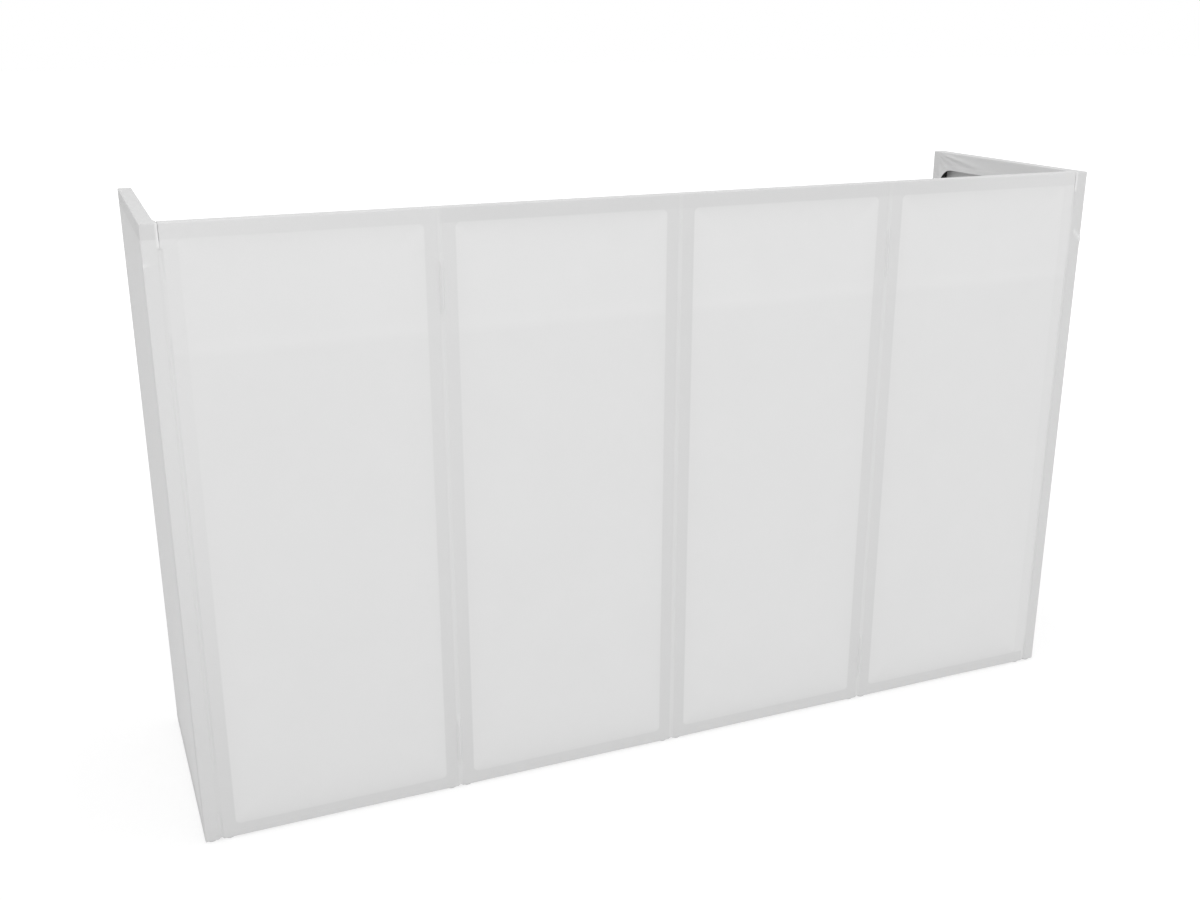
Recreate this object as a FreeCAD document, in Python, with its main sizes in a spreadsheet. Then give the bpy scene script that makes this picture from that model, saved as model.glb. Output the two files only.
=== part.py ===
"""Folding fabric facade for a disc jockey's stand: four front panels and two wings.

Six black square-tube frames are joined edge to edge by five pairs of butt hinges, and each frame
carries its share of a white stretch cover. The origin is at the bottom centre of the set-up facade,
+X runs to the right as the audience sees it, +Y runs back towards the performer and +Z is up.
Lengths are millimetres.
"""
import FreeCAD, Part
import Sketcher
import os
import re
from dataclasses import dataclass

SIZES = (
    ("overall_height", 1200, "floor to the top of the cover"),
    ("front_panel_width", 476, "outside width of one front frame"),
    ("wing_width", 518, "outside width of one wing frame"),
    ("tube", 25, "outside of the square tube"),
    ("wall", 1.5, "wall of the square tube"),
    ("tube_corner", 2, "outer corner radius of the square tube"),
    ("fabric", 0.8, "thickness of the stretch cover"),
    ("foot_height", 6, "floor to the lower end of the stiles"),
    ("foot_flange", 2, "square flange under the tube"),
    ("foot_rim", 1.5, "flange edge to the glide under it"),
    ("foot_taper", 1.5, "glide radius lost towards the floor"),
    ("insert_depth", 15, "how far feet and plugs reach into the tube"),
    ("insert_fit", 0.1, "clearance of an insert on each side"),
    ("plug_cap", 2, "cap of the top plug"),
    ("pin_radius", 1.5, "hinge pin"),
    ("pin_clearance", 0.05, "running clearance of the pin in its knuckles"),
    ("pin_head_rim", 1.15, "pin to the edge of its button heads"),
    ("pin_head", 1.5, "thickness of those heads"),
    ("leaf", 1.2, "thickness of a hinge leaf and of its rolled knuckles"),
    ("barrel_air", 1.75, "knuckles to the tube beside them"),
    ("fold_air", 0.6, "cover to the hinge plane, half the space between folded panels"),
    ("leaf_margin", 3, "leaf edge to the far face of the tube"),
    ("knuckle_clearance", 0.5, "leaf edge to the other leaf's knuckles"),
    ("knuckle_gap", 0.3, "between knuckles along the pin"),
    ("hinge_height", 70, "length of one hinge"),
    ("middle_knuckle", 28, "length of the middle knuckle"),
    ("hinge_above_floor", 110, "floor to the middle of the lower hinges"),
    ("hinge_below_top", 145, "top to the middle of the upper hinges"),
    ("rivet_radius", 1.6, "rivet shank"),
    ("rivet_clearance", 0.05, "rivet hole around the shank"),
    ("rivet_head_rim", 1.6, "shank to the edge of the rivet head"),
    ("rivet_head", 1.1, "thickness of that head"),
    ("rivet_tail_rim", 0.8, "shank to the edge of the upset tail inside the tube"),
    ("rivet_tail", 4, "length of that tail"),
    ("rivet_spacing", 46, "between the two rivets of a leaf"),
    ("seam", 1, "between neighbouring covers in a joint"),
    ("flap_depth", 230, "cover hanging behind the front panels"),
    ("flap_inset", 2, "flap edge inside the frame edge"),
    ("skirt_rise", 1.4, "rise of the cover's lower edge between the feet"),
    ("skirt_air", 0.6, "middle of that edge below the strip under the rail"),
    ("skirt_hem", 20, "hem turned up behind the bottom rail"),
    ("notch_air", 0.5, "cover to a hinge leaf beside it"),
    ("notch_end_air", 1, "cover to the ends of a hinge pin"),
    ("slit_depth", 43, "open slit at the top of each corner"),
    ("slit_opening", 2, "slit cut from the cover on each side"),
    ("window_top", 50, "cover above the window of a wing"),
    ("window_rear", 28, "cover behind the window of a wing"),
    ("window_bottom", 40, "cover below the window of a wing"),
    ("window_radius", 45, "rounded rear corners of that window"),
)
ALIASES = re.compile(r"\b(" + "|".join(name for name, _, _ in SIZES) + r")\b")

# Formulas that follow from the sizes above.
BARREL = "(pin_radius + pin_clearance + leaf)"
AXIS_OFFSET = "(fabric + fold_air)"
GAP = f"(2 * ({BARREL} + barrel_air))"
PITCH = f"(front_panel_width + {GAP})"
FRONT_END = f"(2 * front_panel_width + 1.5 * {GAP})"
Y_FRONT = f"(({AXIS_OFFSET} + {BARREL} - wing_width - fabric) / 2)"
Y_REAR = f"({Y_FRONT} + tube)"
STILE_LENGTH = "(overall_height - fabric - plug_cap - foot_height)"
TUBE_TOP = "(overall_height - fabric - plug_cap)"
LEAF_START = f"({BARREL} + knuckle_clearance)"
LEAF_END = f"({AXIS_OFFSET} + tube - leaf_margin)"
RIVET_LINE = f"({AXIS_OFFSET} + tube / 2)"
RIVET_HOLE = "(rivet_radius + rivet_clearance)"
PIN_BORE = "(pin_radius + pin_clearance)"
END_KNUCKLE = "((hinge_height - middle_knuckle) / 2 - knuckle_gap)"
OVERHANG = f"({GAP} / 2 - seam / 2)"
SKIRT_TOP = "(foot_height - fabric)"
SKIRT_BOTTOM = f"({SKIRT_TOP} - skirt_air - skirt_rise)"
HINGE_HEIGHTS = ("hinge_above_floor", "overall_height - hinge_below_top")

# Of a tube's eight long edges, in order of their distance from its middle, the last four are outside.
SAME_LENGTH = 0.001
OUTER_CORNERS = slice(4, 8)

# A cylinder stands along Z until it is turned.
TURNS = {
    "x": FreeCAD.Rotation(FreeCAD.Vector(0, 1, 0), 90),
    "y": FreeCAD.Rotation(FreeCAD.Vector(1, 0, 0), -90),
    "z": FreeCAD.Rotation(),
}

doc = FreeCAD.newDocument("folding_facade")
sheet = doc.addObject("Spreadsheet::Sheet", "sizes")
for row, (alias, value, meaning) in enumerate(SIZES, start=1):
    sheet.set(f"A{row}", str(value))
    sheet.setAlias(f"A{row}", alias)
    sheet.set(f"B{row}", meaning)
doc.recompute()
nodes = []


@dataclass(frozen=True)
class Panel:
    """One frame of the row: its left end stands at (x, y), and it runs along its own +X."""

    name: str
    width: str
    x: str
    y: str
    turn: int
    left: str = "left"
    right: str = "right"

    def world(self, along, behind):
        """Formulas of the place that lies along the panel and behind its outer face."""
        if self.turn == 90:
            return f"{self.x} - ({behind})", f"{self.y} + ({along})"
        if self.turn == -90:
            return f"{self.x} + ({behind})", f"{self.y} - ({along})"
        return f"{self.x} + ({along})", f"{self.y} + ({behind})"


@dataclass(frozen=True)
class Joint:
    """Two hinges, one above the other, in the gap between two panels."""

    name: str
    x: str
    barrel_behind: bool

    def depth(self, distance):
        """Formula of Y at a distance from the hinge axis into the gap."""
        if self.barrel_behind:
            return f"{Y_REAR} + {AXIS_OFFSET} - {distance}"
        return f"{Y_FRONT} - {AXIS_OFFSET} + {distance}"


FRONT_PANELS = tuple(
    Panel(f"front_{number}", "front_panel_width", f"({GAP} / 2 + {number - 3} * {PITCH})", Y_FRONT, 0)
    for number in (1, 2, 3, 4)
)
WING_OUTSIDE = f"({FRONT_END} + {GAP} + tube)"
WING_LEFT = Panel(
    "wing_left", "wing_width", f"(-{WING_OUTSIDE})", f"({Y_FRONT} + wing_width)", -90, "rear", "front"
)
WING_RIGHT = Panel("wing_right", "wing_width", WING_OUTSIDE, Y_FRONT, 90, "front", "rear")
PANELS = (WING_LEFT, *FRONT_PANELS, WING_RIGHT)
JOINTS = (
    Joint("corner_left", f"(-{FRONT_END} - {GAP} / 2)", True),
    Joint("fold_left", f"(-{PITCH})", False),
    Joint("fold_centre", "0", True),
    Joint("fold_right", f"({PITCH})", False),
    Joint("corner_right", f"({FRONT_END} + {GAP} / 2)", True),
)


def bind(thing, formulas):
    """Ties properties to formulas over the sheet's named sizes."""
    for path, formula in formulas.items():
        thing.setExpression(path, ALIASES.sub(r"sizes.\1", formula))


def move(thing, corner):
    """Ties the place of an object to three formulas."""
    bind(thing, {f"Placement.Base.{axis}": formula for axis, formula in zip("xyz", corner)})
    return thing


def box(name, corner, size):
    """Box from its lowest corner and its three sizes."""
    block = doc.addObject("Part::Box", name)
    bind(block, dict(zip(("Length", "Width", "Height"), size)))
    return move(block, corner)


def rod(name, start, radius, length, along="z"):
    """Round bar from the middle of one end."""
    bar = doc.addObject("Part::Cylinder", name)
    bar.Placement = FreeCAD.Placement(FreeCAD.Vector(), TURNS[along])
    bind(bar, {"Radius": radius, "Height": length})
    return move(bar, start)


def group(name, solids):
    """Union of solids, which may also lie apart from each other."""
    union = doc.addObject("Part::MultiFuse", name)
    union.Shapes = solids
    union.Refine = True
    return union


def less(name, stock, tools):
    """Stock with tools taken away."""
    cut = doc.addObject("Part::Cut", name)
    cut.Base = stock
    cut.Tool = tools
    cut.Refine = True
    return cut


def keep(label, solid, panel=None):
    """Names a finished sub-part, and stands it in its panel's place where it was drawn flat."""
    solid.Label = label
    if panel is not None:
        upright = FreeCAD.Rotation(FreeCAD.Vector(0, 0, 1), panel.turn)
        solid.Placement = FreeCAD.Placement(FreeCAD.Vector(), upright)
        move(solid, (panel.x, panel.y, "0"))
    nodes.append(solid)
    return solid


def rectangle(sketch, low, high):
    """Closed rectangle whose low and high corners lie on the sketch's diagonal."""
    corners = [FreeCAD.Vector(*xy) for xy in ((1, 1), (9, 1), (9, 9), (1, 9))]
    first = sketch.GeometryCount
    for side in range(4):
        sketch.addGeometry(Part.LineSegment(corners[side], corners[(side + 1) % 4]), False)
    for side in range(4):
        sketch.addConstraint(Sketcher.Constraint("Coincident", first + side, 2, first + (side + 1) % 4, 1))
        direction = "Vertical" if side % 2 else "Horizontal"
        sketch.addConstraint(Sketcher.Constraint(direction, first + side))
    for vertex, formula in ((first, low), (first + 2, high)):
        for direction in ("DistanceX", "DistanceY"):
            limit = Sketcher.Constraint(direction, -1, 1, vertex, 1, 5)
            bind(sketch, {f"Constraints[{sketch.addConstraint(limit)}]": formula})


def square_tube(name, plane, length):
    """Square tube as a body: a ring of tube size and wall, padded square to a base plane, corners rounded."""
    body = doc.addObject("PartDesign::Body", name)
    ring = body.newObject("Sketcher::SketchObject", name + "_ring")
    base = next(part for part in body.Origin.OriginFeatures if part.Role == plane)
    ring.AttachmentSupport = [(base, "")]
    ring.MapMode = "FlatFace"
    rectangle(ring, "wall", "tube - wall")
    rectangle(ring, "0", "tube")
    pad = body.newObject("PartDesign::Pad", name + "_pad")
    pad.Profile = ring
    bind(pad, {"Length": length})
    doc.recompute()
    edges = {f"Edge{number}": edge for number, edge in enumerate(pad.Shape.Edges, start=1)}
    long_edges = [word for word, edge in edges.items() if abs(edge.Length - pad.Length.Value) < SAME_LENGTH]
    middle = pad.Shape.CenterOfMass
    long_edges.sort(key=lambda word: edges[word].CenterOfMass.distanceToPoint(middle))
    rounding = body.newObject("PartDesign::Fillet", name + "_rounding")
    rounding.Base = (pad, long_edges[OUTER_CORNERS])
    bind(rounding, {"Radius": "tube_corner"})
    return body


def hinge_bars(joint, side, name, start, radius, length):
    """Bars across the gap on the rivet lines of one side of a joint, start measured from its axis."""
    bars = []
    for height in HINGE_HEIGHTS:
        for half in (-1, 1):
            x = f"{joint.x} + ({start})" if side > 0 else f"{joint.x} - ({start}) - ({length})"
            z = f"{height} + {half} * rivet_spacing / 2"
            place = (x, joint.depth(RIVET_LINE), z)
            bars.append(rod(name, place, radius, length, "x"))
    return bars


def make_stiles(panel, left_joint, right_joint):
    """The two uprights of a frame, drilled where a hinge leaf is riveted on."""
    for side, word, joint in ((1, panel.left, left_joint), (-1, panel.right, right_joint)):
        label = f"{panel.name}_{word}_stile"
        stile = square_tube(label + "_tube", "XY_Plane", STILE_LENGTH)
        upright = FreeCAD.Rotation(FreeCAD.Vector(0, 0, 1), panel.turn)
        stile.Placement = FreeCAD.Placement(FreeCAD.Vector(), upright)
        along = "0" if side > 0 else f"{panel.width} - tube"
        move(stile, (*panel.world(along, "0"), "foot_height"))
        if joint is None:
            keep(label, stile)
            continue
        holes = hinge_bars(joint, side, label + "_hole", f"{GAP} / 2 - leaf", RIVET_HOLE, "leaf + 1.5 * wall")
        keep(label, less(label, stile, group(label + "_holes", holes)))


def make_rails(panel):
    """The top and bottom rails between the stiles of a frame."""
    rails = doc.addObject("Part::Compound", f"{panel.name}_rails")
    pair = []
    for height in ("foot_height", f"{TUBE_TOP} - tube"):
        rail = square_tube(f"{panel.name}_rail", "YZ_Plane", f"{panel.width} - 2 * tube")
        move(rail, ("tube", "0", height))
        pair.append(rail)
    rails.Links = pair
    keep(f"{panel.name}_rails", rails, panel)


def tube_insert(name, along, bottom, depth):
    """Square insert that fills the bore of a stile."""
    inside = "(tube - 2 * wall - 2 * insert_fit)"
    offset = "wall + insert_fit"
    return box(name, (f"{along} + {offset}", offset, bottom), (inside, inside, depth))


def make_feet(panel):
    """Nylon glides in the lower ends of both stiles."""
    label = f"{panel.name}_feet"
    rim = "tube / 2 - foot_rim"
    ankle = "foot_height - foot_flange"
    solids = []
    for along in ("0", f"{panel.width} - tube"):
        glide = doc.addObject("Part::Cone", label + "_glide")
        bind(glide, {"Radius1": f"{rim} - foot_taper", "Radius2": rim, "Height": ankle})
        move(glide, (f"{along} + tube / 2", "tube / 2", "0"))
        flange = box(label + "_flange", (along, "0", ankle), ("tube", "tube", "foot_flange"))
        solids += [glide, flange, tube_insert(label + "_insert", along, "foot_height", "insert_depth")]
    keep(label, group(label, solids), panel)


def make_plugs(panel):
    """Caps that close the upper ends of both stiles."""
    label = f"{panel.name}_plugs"
    solids = []
    for along in ("0", f"{panel.width} - tube"):
        solids.append(box(label + "_cap", (along, "0", TUBE_TOP), ("tube", "tube", "plug_cap")))
        solids.append(tube_insert(label + "_insert", along, f"{TUBE_TOP} - insert_depth", "insert_depth"))
    keep(label, group(label, solids), panel)


def make_rivets(panel, left_joint, right_joint):
    """Rivets through the hinge leaves on both edges of a frame: head, shank and upset tail."""
    label = f"{panel.name}_rivets"
    stretches = (
        ("head", f"{GAP} / 2 - leaf - rivet_head", "rivet_radius + rivet_head_rim", "rivet_head"),
        ("shank", f"{GAP} / 2 - leaf", "rivet_radius", "leaf + wall"),
        ("tail", f"{GAP} / 2 + wall", "rivet_radius + rivet_tail_rim", "rivet_tail"),
    )
    solids = []
    for side, joint in ((1, left_joint), (-1, right_joint)):
        if joint is None:
            continue
        for word, start, radius, length in stretches:
            solids += hinge_bars(joint, side, f"{label}_{word}", start, radius, length)
    keep(label, group(label, solids))


def make_leaves(joint, side, word):
    """Both leaves on one side of a joint: a left leaf has two end knuckles, a right leaf a middle one."""
    label = f"{joint.name}_{word}_leaves"
    face = f"{joint.x} + {GAP} / 2 - leaf" if side > 0 else f"{joint.x} - {GAP} / 2"
    tab_face = joint.x if side > 0 else face
    solids = []
    tools = hinge_bars(joint, side, label + "_hole", f"{GAP} / 2 - 1.5 * leaf", RIVET_HOLE, "2 * leaf")
    plate_size = ("leaf", f"{LEAF_END} - {LEAF_START}", "hinge_height")
    plate_edge = joint.depth(LEAF_END if joint.barrel_behind else LEAF_START)
    tab_edge = joint.depth(LEAF_START if joint.barrel_behind else "0")
    for height in HINGE_HEIGHTS:
        bottom = f"{height} - hinge_height / 2"
        solids.append(box(label + "_plate", (face, plate_edge, bottom), plate_size))
        knuckles = [(bottom, END_KNUCKLE), (f"{height} + hinge_height / 2 - {END_KNUCKLE}", END_KNUCKLE)]
        if side > 0:
            knuckles = [(f"{height} - middle_knuckle / 2", "middle_knuckle")]
        for start, length in knuckles:
            solids.append(box(label + "_tab", (tab_face, tab_edge, start), (f"{GAP} / 2", LEAF_START, length)))
            solids.append(rod(label + "_knuckle", (joint.x, joint.depth("0"), start), BARREL, length))
        tools.append(rod(label + "_bore", (joint.x, joint.depth("0"), bottom), PIN_BORE, "hinge_height"))
    keep(label, less(label, group(label + "_stock", solids), group(label + "_tools", tools)))


def make_pins(joint):
    """Both pins of a joint, with a button head at each end."""
    label = f"{joint.name}_pins"
    solids = []
    for height in HINGE_HEIGHTS:
        middle = (joint.x, joint.depth("0"))
        bottom = f"{height} - hinge_height / 2"
        solids.append(rod(label + "_shank", (*middle, bottom), "pin_radius", "hinge_height"))
        for start in (f"{bottom} - pin_head", f"{height} + hinge_height / 2"):
            solids.append(rod(label + "_head", (*middle, start), "pin_radius + pin_head_rim", "pin_head"))
    keep(label, group(label, solids))


def skirt_arch(name, panel):
    """Flat arch under the cover: a disc whose chord spans the rail and whose rise ends below the rail."""
    chord = f"({panel.width} - 2 * tube)"
    radius = f"({chord} * {chord} / (8 * skirt_rise) + skirt_rise / 2)"
    centre = (f"{panel.width} / 2", "-2 * fabric", f"{SKIRT_TOP} - skirt_air - {radius}")
    return rod(name, centre, radius, "2 * fabric", "y")


def rail_wrap(name, panel):
    """Strip of the cover that passes under the bottom rail, between the feet."""
    return box(name, ("tube", "0", SKIRT_TOP), (f"{panel.width} - 2 * tube", "tube", "fabric"))


def make_front_cover(panel, left_joint, right_joint):
    """Cover of a front panel: front sheet, top strip, flap down the back and hem under the bottom rail."""
    label = f"{panel.name}_cover"
    spread = f"{panel.width} + 2 * {OVERHANG}"
    inner = f"{panel.width} - 2 * tube"
    sheet_size = (spread, "fabric", f"overall_height - {SKIRT_BOTTOM}")
    flap_size = (f"{panel.width} - 2 * flap_inset", "fabric", "flap_depth")
    solids = [
        box(label + "_sheet", (f"-{OVERHANG}", "-fabric", SKIRT_BOTTOM), sheet_size),
        box(label + "_top", (f"-{OVERHANG}", "0", "overall_height - fabric"), (spread, "tube", "fabric")),
        box(label + "_flap", ("flap_inset", "tube", "overall_height - flap_depth"), flap_size),
        rail_wrap(label + "_wrap", panel),
        box(label + "_hem", ("tube", "tube", SKIRT_TOP), (inner, "fabric", "skirt_hem")),
    ]
    tools = [skirt_arch(label + "_arch", panel)]
    for side, joint in ((1, left_joint), (-1, right_joint)):
        edge = f"-{OVERHANG}" if side > 0 else f"{panel.width} + {OVERHANG}"
        if joint.name.startswith("corner"):
            start = edge if side > 0 else f"{edge} - slit_opening"
            corner = (start, "-2 * fabric", "overall_height - slit_depth")
            tools.append(box(label + "_slit", corner, ("slit_opening", "tube + 3 * fabric", "slit_depth")))
        elif not joint.barrel_behind:
            width = f"({OVERHANG} + notch_air)"
            start = edge if side > 0 else f"{edge} - {width}"
            for height in HINGE_HEIGHTS:
                half = "(hinge_height / 2 + pin_head + notch_end_air)"
                corner = (start, "-2 * fabric", f"{height} - {half}")
                tools.append(box(label + "_notch", corner, (width, "3 * fabric", f"2 * {half}")))
    keep(label, less(label, group(label + "_stock", solids), group(label + "_tools", tools)), panel)


def make_wing_cover(panel):
    """Cover of a wing: a sleeve over the outside, both ends and the top, with a window on the inside."""
    label = f"{panel.name}_cover"
    front_low = panel.left == "front"

    def along(start, length):
        """Formula of a place measured from the front end of the wing."""
        return start if front_low else f"{panel.width} - ({start}) - ({length})"

    spread = f"{panel.width} + 2 * fabric"
    drop = f"overall_height - {SKIRT_BOTTOM}"
    lining = f"{panel.width} - tube + fabric"
    front_end = (along("-fabric", "fabric"), "-fabric", SKIRT_BOTTOM)
    rear_end = (along(panel.width, "fabric"), "-fabric", SKIRT_BOTTOM)
    lining_edge = (along("tube", lining), "tube", SKIRT_TOP)
    solids = [
        box(label + "_sheet", ("-fabric", "-fabric", SKIRT_BOTTOM), (spread, "fabric", drop)),
        box(label + "_top", ("-fabric", "0", "overall_height - fabric"), (spread, "tube", "fabric")),
        box(label + "_front", front_end, ("fabric", f"tube + fabric + {OVERHANG}", drop)),
        box(label + "_rear", rear_end, ("fabric", "tube + 2 * fabric", drop)),
        box(label + "_lining", lining_edge, (lining, "fabric", f"overall_height - {SKIRT_TOP}")),
        rail_wrap(label + "_wrap", panel),
    ]
    sill = "(foot_height + window_bottom)"
    opening = f"(overall_height - window_top - {sill})"
    reach = f"({panel.width} - window_rear)"
    window = (
        (sill, f"{reach} - window_radius", opening),
        (f"{sill} + window_radius", reach, f"{opening} - 2 * window_radius"),
    )
    tools = [skirt_arch(label + "_arch", panel)]
    for bottom, length, height in window:
        corner = (along("0", length), "tube", bottom)
        tools.append(box(label + "_window", corner, (length, "2 * fabric", height)))
    for bottom in (f"{sill} + window_radius", f"{sill} + {opening} - window_radius"):
        centre = (along(f"{reach} - window_radius", "0"), "tube", bottom)
        tools.append(rod(label + "_corner", centre, "window_radius", "2 * fabric", "y"))
    slit_corner = (along("-fabric", "fabric"), f"tube + {OVERHANG} - slit_opening")
    slit_size = ("fabric", "slit_opening", "slit_depth")
    tools.append(box(label + "_slit", (*slit_corner, "overall_height - slit_depth"), slit_size))
    keep(label, less(label, group(label + "_stock", solids), group(label + "_tools", tools)), panel)


for place, panel in enumerate(PANELS):
    left_joint = JOINTS[place - 1] if place > 0 else None
    right_joint = JOINTS[place] if place < len(JOINTS) else None
    make_stiles(panel, left_joint, right_joint)
    make_rails(panel)
    make_feet(panel)
    make_plugs(panel)
    make_rivets(panel, left_joint, right_joint)
    if panel in FRONT_PANELS:
        make_front_cover(panel, left_joint, right_joint)
    else:
        make_wing_cover(panel)
for joint in JOINTS:
    make_leaves(joint, -1, "left")
    make_leaves(joint, 1, "right")
    make_pins(joint)

doc.recompute()
for thing in doc.Objects:
    if "Invalid" in thing.State or "Error" in thing.State:
        raise RuntimeError(f"{thing.Label} failed: {thing.State}")
for node in nodes:
    if node.Shape.isNull() or not node.Shape.isValid():
        raise RuntimeError(f"{node.Label} has no valid shape")
os.makedirs("parts", exist_ok=True)
for node in nodes:
    node.Shape.exportStep(f"parts/{node.Label}.step")
    print(node.Label, len(node.Shape.Solids), round(node.Shape.Volume, 1))
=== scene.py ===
"""Looks of the folding fabric facade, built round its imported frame.

Six frames of black square tube carry one white stretch cover: four pockets over the front panels,
two sleeves with a window over the wings, and narrow strips that cross the joints between them.
The cover is made here as cloth. The tubes, hinges, pins, rivets, feet and plugs are the frame's own.
Lengths are metres, in the frame's axes: +X to the right, +Y to the back, +Z up.
"""

from __future__ import annotations

import logging
import math
from collections.abc import Sequence
from dataclasses import dataclass
from enum import Enum

import bpy
import numpy as np
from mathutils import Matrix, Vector
from numpy.typing import NDArray


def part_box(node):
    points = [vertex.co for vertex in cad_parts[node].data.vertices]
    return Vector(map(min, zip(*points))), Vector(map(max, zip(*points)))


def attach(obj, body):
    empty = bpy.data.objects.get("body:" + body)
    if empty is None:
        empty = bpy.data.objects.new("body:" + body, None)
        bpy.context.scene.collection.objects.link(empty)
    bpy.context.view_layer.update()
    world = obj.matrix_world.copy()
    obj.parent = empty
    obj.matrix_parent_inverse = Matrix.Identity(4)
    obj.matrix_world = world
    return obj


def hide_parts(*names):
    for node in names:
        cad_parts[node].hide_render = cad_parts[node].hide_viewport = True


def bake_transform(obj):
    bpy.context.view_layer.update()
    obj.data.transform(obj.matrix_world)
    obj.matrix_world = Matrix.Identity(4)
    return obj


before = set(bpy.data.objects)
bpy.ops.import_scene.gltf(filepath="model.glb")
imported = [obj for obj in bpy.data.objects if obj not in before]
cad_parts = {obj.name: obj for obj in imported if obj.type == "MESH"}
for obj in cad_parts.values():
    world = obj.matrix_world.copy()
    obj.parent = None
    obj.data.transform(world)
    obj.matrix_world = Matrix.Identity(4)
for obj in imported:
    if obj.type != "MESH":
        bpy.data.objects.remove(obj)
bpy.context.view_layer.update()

Array = NDArray[np.float64]
Index = NDArray[np.int64]
Point = tuple[float, float, float]
Pair = tuple[float, float]
Piece = bpy.types.Object
Finish = bpy.types.Material
Socket = bpy.types.NodeSocket

log = logging.getLogger("facade")

# Cloth
CLOTH_THICKNESS = 0.0008
SKIRT_DROP = 0.0014
EDGE_RADIUS = 0.0022
HOOD_RADIUS = 0.0016
EDGE_SHARES = np.array([0.0, 0.25, 0.5, 0.75, 1.0])
EDGE_STOPS = EDGE_RADIUS * EDGE_SHARES
TURN_STOPS = np.unique([*EDGE_STOPS, HOOD_RADIUS])
HEM_STEP = np.array([0.9, 1.1])
HEM_STEP_WIDTH = 0.2
STITCH_LIFT = 0.7
FLAP_LAYER = 0.13
# Painted highlight on a wing's slit edge and crease
EDGE_HIGHLIGHT = 0.8
RIPPLE_WAVES = 6
RIPPLE_LENGTHS = (0.07, 0.32)

# Painted shade of the tubes behind the cloth, which block the light through it: band edges, halo, painted
# light on the top, and change with height
CORNER_RADIUS = 0.010
BAND_BLUR = 0.003
RAIL_HALO = 0.5
STILE_HALO = 0.22
HALO_REACH = 0.022
# Painted light: the top faces are lit more, so less of the tube shade shows there
TOP_LIT_SHARE = 0.55
FADE_HEIGHT = 0.9

# Meshes
WELD_DISTANCE = 1e-6
SHARP_ANGLE = math.radians(40.0)
FULL_TURN = 2.0 * math.pi
QUARTER_TURN = math.pi / 2.0

# Panels
FRONT_BODIES = ("front_1", "front_2", "front_3", "front_4")
HOOD_REACH = {"front_1": 0.0042, "front_4": 0.0032}
FIRST_FRONT_SEED = 11
FIRST_WING_SEED = 31


class Shown(Enum):
    """Point attributes of the cloth that its finish reads."""

    # Painted shade: darker where the tubes behind the cloth block the light that comes through it, with a
    # halo round them
    TUBE = "tube_behind"
    # Extra brightness: a doubled flap of cloth, and a painted highlight along a wing's slit edge and crease
    LAYER = "extra_layers"


class Side(Enum):
    """A wing's side of the facade, as the audience sees it, with the sign of its X."""

    LEFT = -1
    RIGHT = 1


class Axis(Enum):
    """Number of an axis that a flat grid is square to."""

    ACROSS = 0
    DEEP = 1
    UP = 2


@dataclass(frozen=True)
class PaintedShadeShares:
    """Shares of the painted tube shade at the left and at the right end of a panel, set by how light falls
    there.

    Stiles and rails have a share near the top, and stiles another one at the floor.
    """

    stiles: Pair
    rails: Pair
    floor: Pair = (1.0, 1.0)

    def across(self, share: Array) -> list[Array]:
        """Stile, rail and floor shares at places a share of the way from the left end to the right."""
        return [mixed(*ends, share) for ends in (self.stiles, self.rails, self.floor)]


@dataclass(frozen=True)
class Crease:
    """Slanting crease in the front strip of a sleeve: its height at both edges, size, reach and width."""

    outer: float
    inner: float
    size: float
    reach: float
    width: float


@dataclass(frozen=True)
class Groove:
    """Cloth over the gap of a joint: how deep it sinks, and its painted shade over the gap, where light
    comes through, and over a hinge, which blocks it.
    """

    depth: float
    gap_shade: float
    hinge_shade: float


# Painted light and shade: the tubes are alike, and the shares differ from end to end with how light falls
# on the cloth there
PAINTED_SHADE_SHARES = {
    "wing_left": PaintedShadeShares((0.35, 0.45), (0.95, 0.95)),
    "front_1": PaintedShadeShares((0.2, 0.62), (0.50, 0.66)),
    "front_2": PaintedShadeShares((0.62, 0.85), (0.95, 0.98)),
    "front_3": PaintedShadeShares((0.85, 0.75), (0.98, 0.98)),
    "front_4": PaintedShadeShares((0.75, 0.2), (0.95, 0.55), (1.0, 0.25)),
    "wing_right": PaintedShadeShares((1.0, 1.0), (0.95, 0.95)),
}
WING_CREASES = {
    Side.LEFT: Crease(1.128, 1.136, 0.0020, 0.006, 0.004),
    Side.RIGHT: Crease(1.050, 1.076, 0.0026, 0.060, 0.006),
}
# Painted light and shade over the joints: a fold's gap is lighter, most along its hinges, and a corner's
# gap is dark, darker along its hinges
FOLD_GROOVE = Groove(0.0006, 0.70, 0.60)
CORNER_GROOVE = Groove(0.0019, 1.0, 1.1)


def mixed(first: Array | float, last: Array | float, share: Array) -> Array:
    """Values a share of the way from a first value to a last one."""
    return first + (last - first) * share


def smooth(share: Array) -> Array:
    """Smooth step: 3 s squared minus 2 s cubed, for a share s held between 0 and 1.

    Args:
        share: Values that run from 0 to 1 over the step.

    Returns:
        The eased values.
    """
    held = np.clip(share, 0.0, 1.0)
    return held * held * (3.0 - 2.0 * held)


def edge_step(inside: Array, blur: float) -> Array:
    """Smooth step from 0 to 1 over a blur with the edge in its middle, for distances inside the edge."""
    return smooth(inside / blur + 0.5)


def hem_step(inside: Array, hem: float) -> Array:
    """Smooth step from 0 to 1 over a fifth of a hem's width, for distances inside the step's start."""
    return smooth(inside / (hem * HEM_STEP_WIDTH))


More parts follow.
